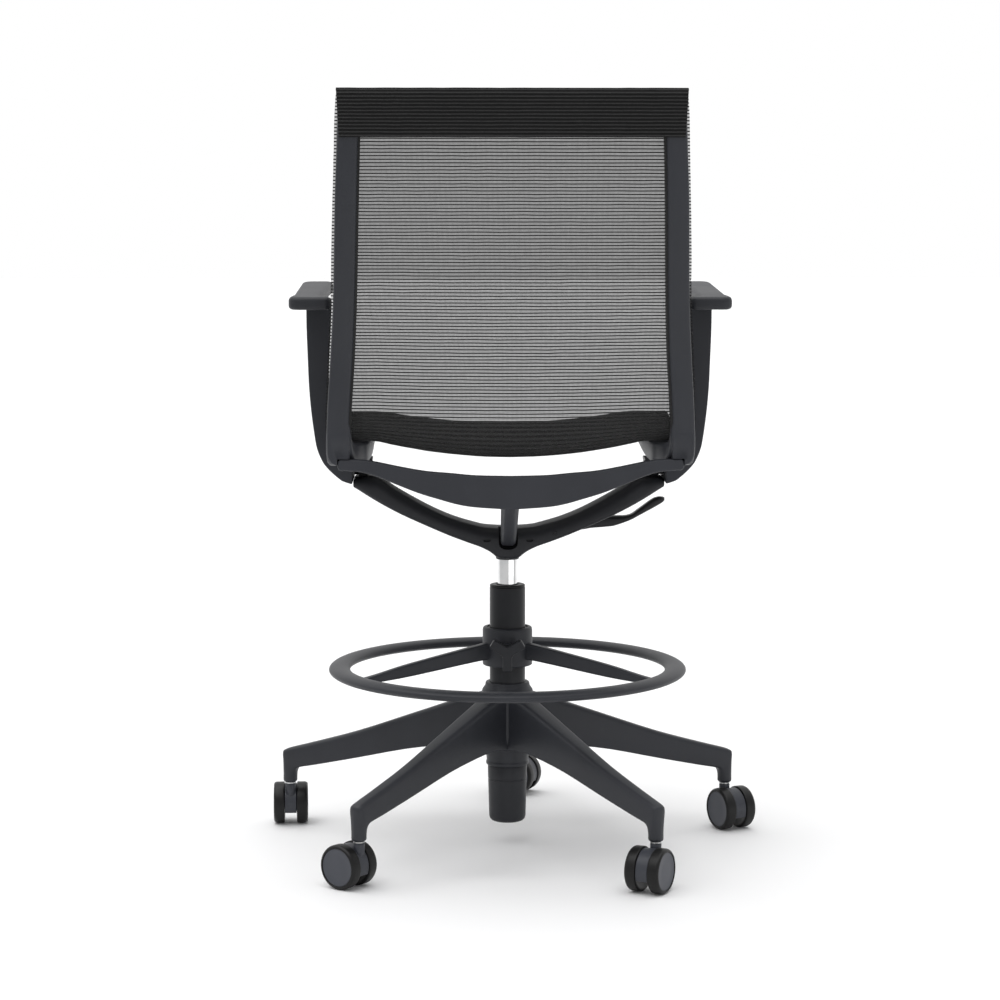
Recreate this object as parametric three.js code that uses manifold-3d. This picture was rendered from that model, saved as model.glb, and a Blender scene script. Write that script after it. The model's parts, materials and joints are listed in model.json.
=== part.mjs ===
// Drafting chair: five-star base on twin-wheel casters, gas column with a foot ring,
// V-shaped yoke, and a tilting frame that carries one stretched mesh sling and two arms.
// Millimetres. +Z is up, +Y is the way the sitter faces.
import * as THREE from "three";
import { mergeVertices } from "three/addons/utils/BufferGeometryUtils.js";
import Module from "manifold-3d";

const wasm = await Module();
wasm.setup();

// ---------- driving dimensions ----------
const columnX = -10.5; // the column axis from the middle of the chair's footprint
const columnY = -16.7;
const baseTurn = -1.27; // degrees from the seat's middle plane to the base's own
const gap = 0.3;

const baseRadius = 332.7; // column axis to caster stem
const legCount = 5;
const wheelRadius = 30;
const wheelWidth = 15.5;
const webHalf = 8.6; // half the caster body's thickness
const casterTrail = 18;
const casterHeadings = [-22.8, 92, 140.9, 240.6, -63.1]; // degrees, one for each leg

const tubeRadius = 25;
const cylinderRadius = 14;
const ringRadius = 236.6;
const ringHeight = 250;
const spokeAngles = [90, 210, 330];

const pivotY = -55; // tilt axis, parallel to X
const pivotZ = 539;
const seatRailInner = 187;
const sweep = 40; // how far the yoke's ends lie behind its middle

// ---------- finishes ----------
const finish = (color, roughness, metalness = 0) =>
  new THREE.MeshStandardMaterial({ color, roughness, metalness });
const nylon = finish(0x3c3e43, 0.5);
const darkNylon = finish(0x2b2d30, 0.5);
const blackRubber = finish(0x17181a, 0.7);
const capGrey = finish(0x505256, 0.5);
const paintedSteel = finish(0x303235, 0.45);
const chrome = finish(0xdadcde, 0.12, 1);
const steel = finish(0x8d9094, 0.35, 0.9);
const meshFabric = finish(0x4a4b4d, 0.9);

// ---------- helpers ----------
const chair = new THREE.Group();
const radians = THREE.MathUtils.degToRad;
const at = (x, y, z) => new THREE.Vector3(x, y, z);
const smooth = (t) => THREE.MathUtils.smoothstep(t, 0, 1);

// A closed geometry as a solid that can be joined and cut.
function solid(geometry) {
  const bare = new THREE.BufferGeometry();
  bare.setAttribute("position", geometry.getAttribute("position").clone());
  if (geometry.index) bare.setIndex(geometry.index.clone());
  const welded = mergeVertices(bare, 1e-3);
  const points = welded.getAttribute("position").array;
  const corner = (i) => at(points[3 * i], points[3 * i + 1], points[3 * i + 2]);
  const index = Array.from(welded.index.array);
  let faces = [];
  let volume = 0;
  for (let i = 0; i < index.length; i += 3) {
    const [a, b, c] = index.slice(i, i + 3);
    if (a === b || b === c || c === a) continue;
    faces.push(a, b, c);
    volume += corner(a).dot(corner(b).cross(corner(c)));
  }
  if (volume < 0) faces = faces.reverse();
  return new wasm.Manifold(new wasm.Mesh({
    numProp: 3,
    vertProperties: Float32Array.from(points),
    triVerts: Uint32Array.from(faces),
  }));
}

// The solid as a geometry again.
function surface(body) {
  const mesh = body.getMesh();
  const geometry = new THREE.BufferGeometry();
  geometry.setAttribute("position", new THREE.BufferAttribute(mesh.vertProperties, 3));
  geometry.setIndex(new THREE.BufferAttribute(mesh.triVerts, 1));
  geometry.computeVertexNormals();
  return geometry;
}

function part(name, body, material, parent = chair) {
  const mesh = new THREE.Mesh(surface(body), material);
  mesh.name = name;
  parent.add(mesh);
  return mesh;
}

function join(first, ...others) {
  return others.reduce((sum, other) => sum.add(other), first);
}

function cut(first, ...others) {
  return others.reduce((rest, other) => rest.subtract(other), first);
}

function box(x0, x1, y0, y1, z0, z1) {
  const geometry = new THREE.BoxGeometry(x1 - x0, y1 - y0, z1 - z0);
  geometry.translate((x0 + x1) / 2, (y0 + y1) / 2, (z0 + z1) / 2);
  return solid(geometry);
}

// Turns [radius, height] pairs about the Z axis.
function turned(profile, segments = 32) {
  const points = profile.map(([r, z]) => new THREE.Vector2(r, z));
  return solid(new THREE.LatheGeometry(points, segments).rotateX(Math.PI / 2));
}

// A ring or sleeve about the Z axis.
function sleeve(inner, outer, z0, z1, segments = 24) {
  return turned([[inner, z0], [outer, z0], [outer, z1], [inner, z1], [inner, z0]], segments);
}

// A round bar from one point to another.
function bar(from, to, radius, segments = 16) {
  const along = to.clone().sub(from);
  const geometry = new THREE.CylinderGeometry(radius, radius, along.length(), segments);
  const turn = new THREE.Quaternion().setFromUnitVectors(at(0, 1, 0), along.clone().normalize());
  geometry.applyQuaternion(turn);
  geometry.translate(...from.clone().add(to).multiplyScalar(0.5));
  return solid(geometry);
}

function outline(points) {
  return new THREE.Shape(points.map(([a, b]) => new THREE.Vector2(a, b)));
}

function slab(shape, depth, bevel, curveSegments) {
  return new THREE.ExtrudeGeometry(shape, {
    depth: depth - 2 * bevel,
    bevelEnabled: bevel > 0,
    bevelThickness: bevel,
    bevelSize: bevel,
    bevelOffset: -bevel,
    bevelSegments: 1,
    curveSegments,
  }).translate(0, 0, bevel);
}

// An outline in X and Z, from y0 to y1.
function plateXZ(shape, y0, y1, bevel = 0, curveSegments = 8) {
  const geometry = slab(shape, y1 - y0, bevel, curveSegments);
  const basis = new THREE.Matrix4().makeBasis(at(1, 0, 0), at(0, 0, 1), at(0, -1, 0));
  return geometry.applyMatrix4(basis).translate(0, y1, 0);
}

// An outline in Y and Z, from x0 to x1.
function plateYZ(shape, x0, x1, bevel = 0, curveSegments = 8) {
  const geometry = slab(shape, x1 - x0, bevel, curveSegments);
  const basis = new THREE.Matrix4().makeBasis(at(0, 1, 0), at(0, 0, 1), at(1, 0, 0));
  return geometry.applyMatrix4(basis).translate(x0, 0, 0);
}

// A closed solid through a row of sections, each a loop of as many points.
function loft(sections) {
  const count = sections[0].length;
  const points = sections.flat();
  const index = [];
  for (let s = 0; s + 1 < sections.length; s += 1) {
    for (let i = 0; i < count; i += 1) {
      const a = s * count + i;
      const b = s * count + (i + 1) % count;
      index.push(a, b, b + count, a, b + count, a + count);
    }
  }
  const last = (sections.length - 1) * count;
  for (let i = 1; i + 1 < count; i += 1) {
    index.push(0, i + 1, i, last, last + i, last + i + 1);
  }
  const geometry = new THREE.BufferGeometry().setFromPoints(points);
  geometry.setIndex(index);
  return solid(geometry);
}

// A thin closed skin: point(u, v) gives its middle surface, u and v run from 0 to 1.
function skin(point, across, lengthwise, thickness) {
  const step = 1e-3;
  const both = [[], []];
  const columns = across.length - 1;
  const rows = lengthwise.length - 1;
  for (const v of lengthwise) {
    for (const u of across) {
      const along = point(Math.min(u + step, 1), v).sub(point(Math.max(u - step, 0), v));
      const down = point(u, Math.min(v + step, 1)).sub(point(u, Math.max(v - step, 0)));
      const normal = along.cross(down).setLength(thickness / 2);
      both[0].push(point(u, v).add(normal));
      both[1].push(point(u, v).sub(normal));
    }
  }
  const wide = columns + 1;
  const size = wide * (rows + 1);
  const index = [];
  const quad = (a, b, c, d) => index.push(a, b, c, a, c, d);
  for (let j = 0; j < rows; j += 1) {
    for (let i = 0; i < columns; i += 1) {
      const a = j * wide + i;
      quad(a, a + wide, a + wide + 1, a + 1);
      quad(size + a, size + a + 1, size + a + wide + 1, size + a + wide);
    }
  }
  for (let i = 0; i < columns; i += 1) {
    const end = rows * wide + i;
    quad(i, i + 1, size + i + 1, size + i);
    quad(end + 1, end, size + end, size + end + 1);
  }
  for (let j = 0; j < rows; j += 1) {
    const a = j * wide;
    const b = a + columns;
    quad(a + wide, a, size + a, size + a + wide);
    quad(b, b + wide, size + b + wide, size + b);
  }
  const geometry = new THREE.BufferGeometry().setFromPoints(both.flat());
  geometry.setIndex(index);
  return solid(geometry);
}

// Reads a table of [key, value...] rows at a key, straight between its rows.
function lookUp(table, key, column = 1) {
  const next = table.findIndex((row) => row[0] >= key);
  if (next === 0) return table[0][column];
  if (next < 0) return table.at(-1)[column];
  const [low, high] = [table[next - 1], table[next]];
  const share = (key - low[0]) / (high[0] - low[0]);
  return low[column] + share * (high[column] - low[column]);
}

// ---------- star base ----------
const base = new THREE.Group();
base.rotation.z = radians(baseTurn);
chair.add(base);

// Distance from the axis, half width, bottom edge, top edge.
const legStations = [
  [20, 17, 138, 214],
  [53, 16.5, 140, 209],
  [90, 15.6, 136, 196],
  [150, 13.8, 126, 174],
  [226, 12, 108, 146],
  [319, 10.4, 86, 118],
  [335, 10, 82, 113],
  [341, 8.6, 83, 109],
  [343.4, 5.5, 88, 103],
];

function legSection(radius, half, bottom, top) {
  const soft = Math.min(7.5, 0.7 * half);
  const side = [
    [half - 2, bottom],
    [half, bottom + 3],
    [half, top - 6],
    [half - soft, top],
  ];
  const other = side.map(([y, z]) => [-y, z]).reverse();
  return [...side, ...other].map(([y, z]) => at(radius, y, z));
}

const hub = turned([
  [20, 112.5],
  [29.4, 112.5],
  [30.2, 114],
  [30.2, 117.5],
  [29.2, 118.5],
  [31.2, 138],
  [34, 142],
  [36.3, 150],
  [36, 219],
  [32.6, 224],
  [30.3, 231],
  [20, 231],
  [20, 112.5],
], 28);
const legs = [];
const sockets = [];
for (let k = 0; k < legCount; k += 1) {
  const turn = 90 + (360 / legCount) * k;
  const neck = turned([[0, 65], [8.4, 65], [10, 67.5], [10, 88], [9.5, 104], [0, 104]], 14);
  const fillet = loft([
    [at(316, -8, 88), at(316, 8, 88), at(318, 8, 84), at(318, -8, 84)],
    [at(326, -8, 92), at(326, 8, 92), at(326, 8, 72), at(326, -8, 72)],
  ]);
  const leg = join(loft(legStations.map((s) => legSection(...s))), neck.translate(baseRadius, 0, 0), fillet);
  legs.push(leg.rotate(0, 0, turn));
  const socket = turned([[0, 60], [5.9, 60], [5.9, 101], [0, 101]], 12);
  sockets.push(socket.translate(baseRadius, 0, 0).rotate(0, 0, turn));
}
const columnBore = sleeve(0, tubeRadius + gap, 100, 240, 28);
part("star_base", cut(join(hub, ...legs), columnBore, ...sockets), nylon, base);

// ---------- gas column ----------
part("column_tube", turned([
  [6.6, 60],
  [tubeRadius, 60],
  [tubeRadius, 366],
  [22.4, 366],
  [22.4, 64],
  [6.6, 64],
  [6.6, 60],
], 28), paintedSteel, base);

part("guide_bush", turned([
  [14.35, 262],
  [22.1, 262],
  [22.1, 366.3],
  [24.8, 366.3],
  [24.8, 368.4],
  [23.8, 369.4],
  [14.35, 369.4],
  [14.35, 262],
], 28), blackRubber, base);

part("column_boot", turned([
  [0, 31],
  [21.5, 31],
  [24.9, 34],
  [25.9, 38],
  [27.8, 112],
  [25.35, 112],
  [25.35, 59.6],
  [22, 59.6],
  [22, 36],
  [0, 36],
], 28), darkNylon, base);

part("thrust_bearing", sleeve(6.6, 14, 64.3, 69.3), steel, base);

part("piston_rod", turned([
  [0, 44],
  [5, 44],
  [5, 69.6],
  [13, 69.6],
  [13, 72],
  [5, 72],
  [5, 388],
  [11.4, 388],
  [11.4, 400],
  [0, 400],
], 20), steel);

part("rod_clip", sleeve(5.4, 10, 56, 58), steel);

part("gas_cylinder", turned([
  [5.8, 140],
  [cylinderRadius, 140],
  [cylinderRadius, 404],
  [13.3, 431],
  [3.9, 431],
  [3.9, 418],
  [0, 418],
  [0, 410],
  [11.8, 410],
  [11.8, 146],
  [5.8, 146],
  [5.8, 140],
], 28), chrome);

part("valve_button", turned([
  [0, 422],
  [3.4, 422],
  [3.4, 434.8],
  [6, 434.8],
  [6, 436.6],
  [0, 436.6],
], 16), steel);

// ---------- foot ring ----------
const ringSection = [];
for (let i = 0; i <= 8; i += 1) {
  const t = (2 * Math.PI * i) / 8 + Math.PI / 8;
  ringSection.push([ringRadius + 15 * Math.cos(t), ringHeight + 7.3 * Math.sin(t)]);
}
ringSection[8] = ringSection[0];

const spokeStations = [
  [31, 7, 266, 288],
  [80, 6.4, 261, 281],
  [160, 6.2, 251.5, 268],
  [222, 7, 246.5, 255.5],
  [234, 6, 246.5, 253.5],
];

function spoke(angle) {
  const sections = spokeStations.map(([r, half, bottom, top]) => [
    at(r, half - 2, bottom),
    at(r, half, bottom + 2),
    at(r, half, top - 3),
    at(r, half - 3, top),
    at(r, 3 - half, top),
    at(r, -half, top - 3),
    at(r, -half, bottom + 2),
    at(r, 2 - half, bottom),
  ]);
  return loft(sections).rotate(0, 0, angle);
}

const ringHub = turned([
  [26, 255],
  [33.5, 255],
  [35, 257],
  [35, 306.5],
  [33.5, 309],
  [26, 309],
  [26, 255],
], 28);
const knobBoss = bar(at(0, -30, 280.5), at(0, -43, 280.5), 10, 20);
const hubBore = sleeve(0, 29, 240, 320, 28);
const knobHole = bar(at(0, -20, 280.5), at(0, -50, 280.5), 4.5);
const ringBody = join(turned(ringSection, 44), ringHub, knobBoss, ...spokeAngles.map(spoke));
part("foot_ring", cut(ringBody, hubBore, knobHole), nylon, base);
part("ring_collet", sleeve(tubeRadius + 0.4, 28.6, 256.5, 307.5, 28), blackRubber, base);

const knobShape = new THREE.Shape();
for (let k = 0; k <= 24; k += 1) {
  const t = (2 * Math.PI * k) / 24 + Math.PI / 2;
  const r = 17 + 8.5 * Math.cos(3 * (t + Math.PI / 2));
  const [x, z] = [r * Math.cos(t), r * Math.sin(t)];
  if (k === 0) knobShape.moveTo(x, z);
  else if (k < 24) knobShape.lineTo(x, z);
}
const knobBody = solid(plateXZ(knobShape, -63, -46, 2.2)).translate(0, 0, 280.5);
const boltHole = bar(at(0, -40, 280.5), at(0, -59.4, 280.5), 4.3);
part("ring_knob", cut(knobBody, boltHole), darkNylon, base);
part("knob_bolt", bar(at(0, -29, 280.5), at(0, -59, 280.5), 4), steel, base);

// ---------- casters ----------
// Each one is drawn with its stem on its own Z axis and its wheels trailing towards its +X.
function casterWeb() {
  const bottom = 19;
  const radius = wheelRadius - 1.8;
  const start = Math.asin((bottom - wheelRadius) / radius);
  const shape = new THREE.Shape();
  shape.absarc(casterTrail, wheelRadius, radius, start, Math.PI - start, false);
  shape.closePath();
  const web = solid(plateXZ(shape, -webHalf, webHalf, 0, 14));
  const boss = turned([[0, 42], [webHalf, 42], [webHalf, 61], [7.6, 62], [0, 62]], 14);
  const bore = turned([[0, 44], [5.8, 44], [5.8, 70], [0, 70]], 12);
  const hole = bar(at(casterTrail, -10, wheelRadius), at(casterTrail, 10, wheelRadius), 3.4, 10);
  const inside = join(web, boss);
  return cut(inside, bore, hole);
}

function wheelSolid(side) {
  const inner = webHalf + 0.4;
  const outer = inner + wheelWidth;
  const wheel = turned([
    [0, outer - 1.2],
    [25, outer - 1.2],
    [25.6, outer],
    [27.8, outer],
    [wheelRadius, outer - 3.5],
    [wheelRadius, inner + 1],
    [29, inner],
    [3.4, inner],
    [3.4, outer - 2.4],
    [0, outer - 2.4],
  ], 20);
  return wheel.rotate(side > 0 ? -90 : 90, 0, 0).translate(casterTrail, 0, wheelRadius);
}

const web = casterWeb();
const stem = turned([
  [0, 46],
  [5.4, 46],
  [5.4, 62.3],
  [7.6, 62.3],
  [7.6, 64.6],
  [5.4, 64.6],
  [5.4, 100],
  [0, 100],
], 12);
const axle = bar(
  at(casterTrail, 2.8 - wheelWidth - webHalf, wheelRadius),
  at(casterTrail, webHalf + wheelWidth - 2.8, wheelRadius),
  3,
  10,
);
for (let k = 0; k < legCount; k += 1) {
  const turn = radians(90 + (360 / legCount) * k + baseTurn);
  const caster = new THREE.Group();
  caster.position.set(baseRadius * Math.cos(turn), baseRadius * Math.sin(turn), 0);
  caster.rotation.z = radians(casterHeadings[k]);
  chair.add(caster);
  const name = `caster_${k + 1}`;
  part(`${name}_body`, web, capGrey, caster);
  part(`${name}_stem`, stem, steel, caster);
  part(`${name}_axle`, axle, steel, caster);
  part(`${name}_wheel_left`, wheelSolid(1), blackRubber, caster);
  part(`${name}_wheel_right`, wheelSolid(-1), blackRubber, caster);
}

// ---------- yoke ----------
const yokeLower = [
  [0, 411], [13.2, 411], [24.9, 420.5], [39, 427.4], [56.5, 433.7], [82.8, 444.6],
  [117.4, 461.9], [151.9, 478.8], [186.7, 498.6], [212.8, 515.8],
];
const yokeUpper = [
  [212.8, 525], [206, 528.4], [182, 528.4], [172, 523], [157.3, 511.5], [128.3, 493.7],
  [102.1, 478.7], [75.3, 466.5], [48.3, 457.7], [30.7, 453.5], [0, 452],
];
const yokeHalf = [...yokeLower, ...yokeUpper];
const yokeLoop = [...yokeHalf, ...yokeHalf.slice(1, -1).reverse().map(([x, z]) => [-x, z])];
const sweptBack = (x) => -sweep * smooth((Math.abs(x) - 30) / 150);

// Moves a plate's points back along Y, more the further they lie from the middle.
function swept(geometry) {
  const position = geometry.getAttribute("position");
  for (let i = 0; i < position.count; i += 1) {
    position.setY(i, position.getY(i) + sweptBack(position.getX(i)));
  }
  return geometry;
}

const yokeBlank = solid(swept(plateXZ(outline(yokeLoop), -52, 22, 3)));
const boss = turned([[0, 405], [14.6, 405], [16.4, 408], [16.4, 440], [0, 440]], 32);
const cylinderSocket = turned([[0, 400], [14.3, 400], [14.3, 404], [13.6, 431.4], [0, 431.4]], 32);
const buttonPocket = sleeve(0, 7, 430, 447, 20);
const leverSlot = loft([
  [at(-8, -4, 432.7), at(-8, 15, 432.7), at(-8, 15, 447.5), at(-8, -4, 447.5)],
  [at(30, -1, 433), at(30, 15, 433), at(30, 15, 449), at(30, -1, 449)],
  [at(140, -1, 436), at(140, 15, 436), at(140, 15, 474), at(140, -1, 474)],
]);
const spineNotch = plateXZ(outline([
  [-13.2, 470], [-13.2, 432], [-10, 426], [-5, 424], [5, 424], [10, 426], [13.2, 432], [13.2, 470],
]), -56, -16.5);
const leverPinHole = bar(at(64.3, -80, 447.5), at(64.3, 30, 447.5), 2.6, 12);

const lugs = [];
const lugHoles = [];
for (const side of [-1, 1]) {
  const lugShape = new THREE.Shape();
  lugShape.moveTo(pivotY + 9.5, 520);
  lugShape.absarc(pivotY, pivotZ, 9.5, 0, Math.PI, false);
  lugShape.lineTo(pivotY - 9.5, 520);
  lugShape.closePath();
  const [x0, x1] = side > 0 ? [194, 206] : [-206, -194];
  lugs.push(solid(plateYZ(lugShape, x0, x1, 0, 6)));
  lugHoles.push(bar(at(side * 190, pivotY, pivotZ), at(side * 210, pivotY, pivotZ), 7, 12));
}
const yokeCuts = [cylinderSocket, buttonPocket, leverSlot, solid(spineNotch), leverPinHole];
part("yoke", cut(join(yokeBlank, boss, ...lugs), ...yokeCuts, ...lugHoles), darkNylon);

part("lever_pin", bar(at(64.3, -58, 447.5), at(64.3, 17, 447.5), 2.2, 12), steel);

// Distance out, front and rear edges, bottom and top.
const leverStations = [
  [-6, -3.5, 12, 437.3, 443.5],
  [20, 2, 12, 437.6, 446.5],
  [64, 2, 12, 441, 453],
  [104, 2, 12, 445.6, 459.2],
  [118, 6.5, 20, 446.8, 461.5],
  [138, 6.5, 26, 448.4, 463.7],
  [152, 6.5, 28, 450.2, 464],
  [172, 6.5, 28.5, 457.5, 464.8],
  [186, 6.5, 28.5, 464.6, 474.5],
  [202.7, 7, 28, 473.5, 486.6],
  [214, 9, 26, 479.6, 490.6],
  [222, 13, 22, 484, 489.6],
];
const leverBlank = loft(leverStations.map(([x, rear, front, bottom, top]) => {
  const soft = Math.min(2.2, (top - bottom) / 3);
  return [
    at(x, rear + soft, bottom), at(x, front - soft, bottom), at(x, front, bottom + soft),
    at(x, front, top - soft), at(x, front - soft, top), at(x, rear + soft, top),
    at(x, rear, top - soft), at(x, rear, bottom + soft),
  ];
}));
part("lift_lever", cut(leverBlank, leverPinHole), darkNylon);

// ---------- side frames ----------
// Middle line of the frame: Y, Z, inner X, outer X, thickness across the line.
const frameStations = [
  [-280, 1038, 191.5, 221.5, 13],
  [-275.5, 1000, 193.5, 223.5, 16],
  [-272, 967, 195, 225, 17],
  [-265, 900, 197, 228, 17.5],
  [-234.5, 778, 201, 232, 18.5],
  [-215, 700, 205, 237, 19],
  [-207.5, 643, 209, 241, 20],
  [-202, 605, 211, 243, 22],
  [-197, 583, 210, 244, 26],
  [-183, 569.5, 204, 243, 30],
  [-160, 567.5, 196, 238, 30],
  [-140, 568.5, 190, 236, 29],
  [-60, 570, seatRailInner, 236, 28],
  [60, 575, seatRailInner, 236.6, 24],
  [180, 584, seatRailInner, 237.4, 22],
  [236, 583, seatRailInner, 236.4, 19],
  [256, 574, 188, 234.6, 16],
  [264, 563, 190, 232, 14],
];

function frameSection(station, before, after, side) {
  const [y, z, inner, outer, thickness] = station;
  const along = at(0, after[0] - before[0], after[1] - before[1]).normalize();
  const across = at(0, -along.z, along.y);
  const half = thickness / 2;
  const soft = Math.min(4, half / 2);
  const loop = [
    [inner + soft, -half], [outer - soft, -half], [outer, soft - half], [outer, half - soft],
    [outer - soft, half], [inner + soft, half], [inner, half - soft], [inner, soft - half],
  ];
  return loop.map(([x, d]) => at(side * x, y, z).addScaledVector(across, d));
}

const tenonHalf = 229;
const crossLower = [
  [0, 497], [46, 500], [71, 504], [96, 511], [122, 519], [150, 530], [177, 541], [198, 547],
  [222, 549], [227, 550.5], [tenonHalf, 554],
];
const crossUpper = [
  [tenonHalf, 559], [227, 562.5], [222, 564], [200, 563.4], [181, 561], [147, 554], [113, 548],
  [79, 545], [46, 542], [0, 541],
];
const crossHalf = [...crossLower, ...crossUpper];
const crossLoop = [...crossHalf, ...crossHalf.slice(1, -1).reverse().map(([x, z]) => [-x, z])];

for (const side of [-1, 1]) {
  const hand = side > 0 ? "right" : "left";
  const sections = frameStations.map((station, i) => frameSection(
    station,
    frameStations[Math.max(i - 1, 0)],
    frameStations[Math.min(i + 1, frameStations.length - 1)],
    side,
  ));
  const [x0, x1] = side > 0 ? [180, tenonHalf + 0.4] : [-tenonHalf - 0.4, -180];
  const tenonNotch = box(x0, x1, -225, -195.6, 540, 564.4);
  // The upright stands on a square heel behind the bend of the rail.
  const heelLoop = [
    [210.6, 555.8], [230, 555.8], [236, 558.4], [240, 563.5], [242, 571], [242.6, 600], [210.6, 600],
  ].map(([x, z]) => [side * x, z]);
  const heel = solid(plateXZ(outline(heelLoop), -212.6, -188, 2));
  part(`side_frame_${hand}`, cut(join(loft(sections), heel), tenonNotch), nylon);
}

part("crossbar", solid(plateXZ(outline(crossLoop), -212, -196, 2)), nylon);

const spineStations = [
  [-195.6, 518, 12.5, 12],
  [-176, 508, 12.3, 11.5],
  [-150, 494, 12, 11],
  [-110, 471, 11.5, 10],
  [-78, 452.5, 11, 9.5],
  [-54, 440.5, 10.6, 9],
  [-44, 436.4, 9.4, 8],
  [-38, 434.6, 6.5, 5],
];
part("spine", loft(spineStations.map(([y, z, half, thick], i) => {
  const before = spineStations[Math.max(i - 1, 0)];
  const after = spineStations[Math.min(i + 1, spineStations.length - 1)];
  const along = at(0, after[0] - before[0], after[1] - before[1]).normalize();
  const across = i === 0 ? at(0, 0, 1) : at(0, -along.z, along.y);
  const section = [];
  for (let k = 0; k < 12; k += 1) {
    const t = (2 * Math.PI * k) / 12;
    const round = Math.abs(Math.cos(t)) ** 0.6 * Math.sign(Math.cos(t));
    const flat = Math.abs(Math.sin(t)) ** 0.6 * Math.sign(Math.sin(t));
    section.push(at(half * round, y, z).addScaledVector(across, thick * flat));
  }
  return section;
})), nylon);

// The top rail deepens between its two sloping shoulders.
const topRailLoop = [
  [-191, 1012], [-158, 1012], [-140, 990], [140, 990], [158, 1012], [191, 1012], [191, 1036],
  [-191, 1036],
];
const topRailLean = radians(5);
const topRail = plateXZ(outline(topRailLoop), -6, 6, 2).translate(0, 0, -1036);
topRail.rotateX(topRailLean).translate(0, -279.5, 1036);
part("top_rail", solid(topRail), darkNylon);

const frontRailCurve = new THREE.CatmullRomCurve3([
  at(-186.6, 243, 575), at(-150, 243, 566), at(-90, 242, 557), at(0, 241, 553),
  at(90, 242, 557), at(150, 243, 566), at(186.6, 243, 575),
]);
const railDisc = new THREE.Shape().absarc(0, 0, 8, 0, 2 * Math.PI, false);
part("front_rail", solid(new THREE.ExtrudeGeometry(railDisc, {
  steps: 10,
  curveSegments: 3,
  extrudePath: frontRailCurve,
})), darkNylon);

// ---------- tilt pivots ----------
for (const side of [-1, 1]) {
  const hand = side > 0 ? "right" : "left";
  const mirrored = (x0, x1) => (side > 0 ? [x0, x1] : [-x1, -x0]);
  const earShape = new THREE.Shape();
  earShape.moveTo(pivotY - 9.5, 553);
  earShape.absarc(pivotY, pivotZ, 9.5, Math.PI, 2 * Math.PI, false);
  earShape.lineTo(pivotY + 9.5, 553);
  earShape.closePath();
  const ears = [[187, 193.6], [206.4, 213]].map((pair) =>
    solid(plateYZ(earShape, ...mirrored(...pair), 0, 6)));
  const bridge = box(...mirrored(187, 213), pivotY - 22, pivotY + 22, 549.3, 553.3);
  const hole = bar(at(side * 180, pivotY, pivotZ), at(side * 220, pivotY, pivotZ), 4.3, 12);
  part(`tilt_bracket_${hand}`, cut(join(bridge, ...ears), hole), paintedSteel);
  const pin = bar(at(side * 187.2, pivotY, pivotZ), at(side * 212.8, pivotY, pivotZ), 4, 12);
  part(`tilt_pin_${hand}`, pin, steel);
  const bush = bar(at(side * 194.3, pivotY, pivotZ), at(side * 205.7, pivotY, pivotZ), 6.6, 12);
  const bore = bar(at(side * 190, pivotY, pivotZ), at(side * 210, pivotY, pivotZ), 4.4, 12);
  part(`torsion_bush_${hand}`, cut(bush, bore), blackRubber);
}

// ---------- arms ----------
const padLength = 270;
const padThickness = 17;
const padPitch = radians(3.4);
const armLoop = [
  [274, 780], [274, 737], [272.4, 687], [271, 652], [268, 617], [263.4, 582.5], [260, 567],
  [254, 553], [249, 545.5], [241, 537], [233, 530], [226, 525], [213.5, 521], [213.5, 553.2],
  [236.4, 553.2], [236.8, 562], [241.4, 585], [243.4, 617], [244, 652], [243.4, 687],
  [240.8, 737], [239.4, 780],
];

// The pad is widest at its rear end. Ahead of that its inner side steps outwards, off the arm's top.
function padOutline(side) {
  const corner = (x, y, r, from) => [0, 1, 2, 3, 4].map((k) => {
    const t = radians(from + 22.5 * k);
    return [x + r * Math.cos(t), y + r * Math.sin(t)];
  });
  const loop = [
    ...corner(15.5, -122, 13, -90), [28.3, -112], [27.5, -104], [26, -95], [24.8, -86], [24.2, -76],
    ...corner(7.2, 118, 17, 0), ...corner(-1.5, 124, 11, 90),
    [-12.5, -96], [-13, -102], [-15, -107.5], [-19, -112], [-24, -115.5],
    ...corner(-19.5, -126, 9, 180),
  ];
  return outline(loop.map(([x, y]) => [side * x, y]));
}

function padAt(geometry, side) {
  return geometry.rotateX(padPitch).translate(side * 264.5, -65, 776.7);
}

// The arm thins towards its front edge, on the inner side.
function thinnedForward(geometry) {
  const position = geometry.getAttribute("position");
  for (let i = 0; i < position.count; i += 1) {
    const x = position.getX(i);
    if (Math.abs(x) > 255) continue;
    const forward = Math.min(1, Math.max(0, (position.getY(i) + 110) / 106));
    const inset = 7 * forward * smooth((position.getZ(i) - 570) / 30);
    position.setX(i, x + Math.sign(x) * inset);
  }
  return geometry;
}

for (const side of [-1, 1]) {
  const hand = side > 0 ? "right" : "left";
  const loop = armLoop.map(([x, z]) => [side * x, z]);
  const blade = solid(thinnedForward(plateXZ(outline(loop), -110, -4, 2.5)));
  const above = padAt(new THREE.BoxGeometry(90, 320, 60).translate(0, 0, 30 - padThickness / 2 - gap), side);
  part(`arm_${hand}`, cut(blade, solid(above)), nylon);
  const pad = slab(padOutline(side), padThickness, 4, 4).translate(0, 0, -padThickness / 2);
  part(`arm_pad_${hand}`, solid(padAt(pad, side)), darkNylon);
}

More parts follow.
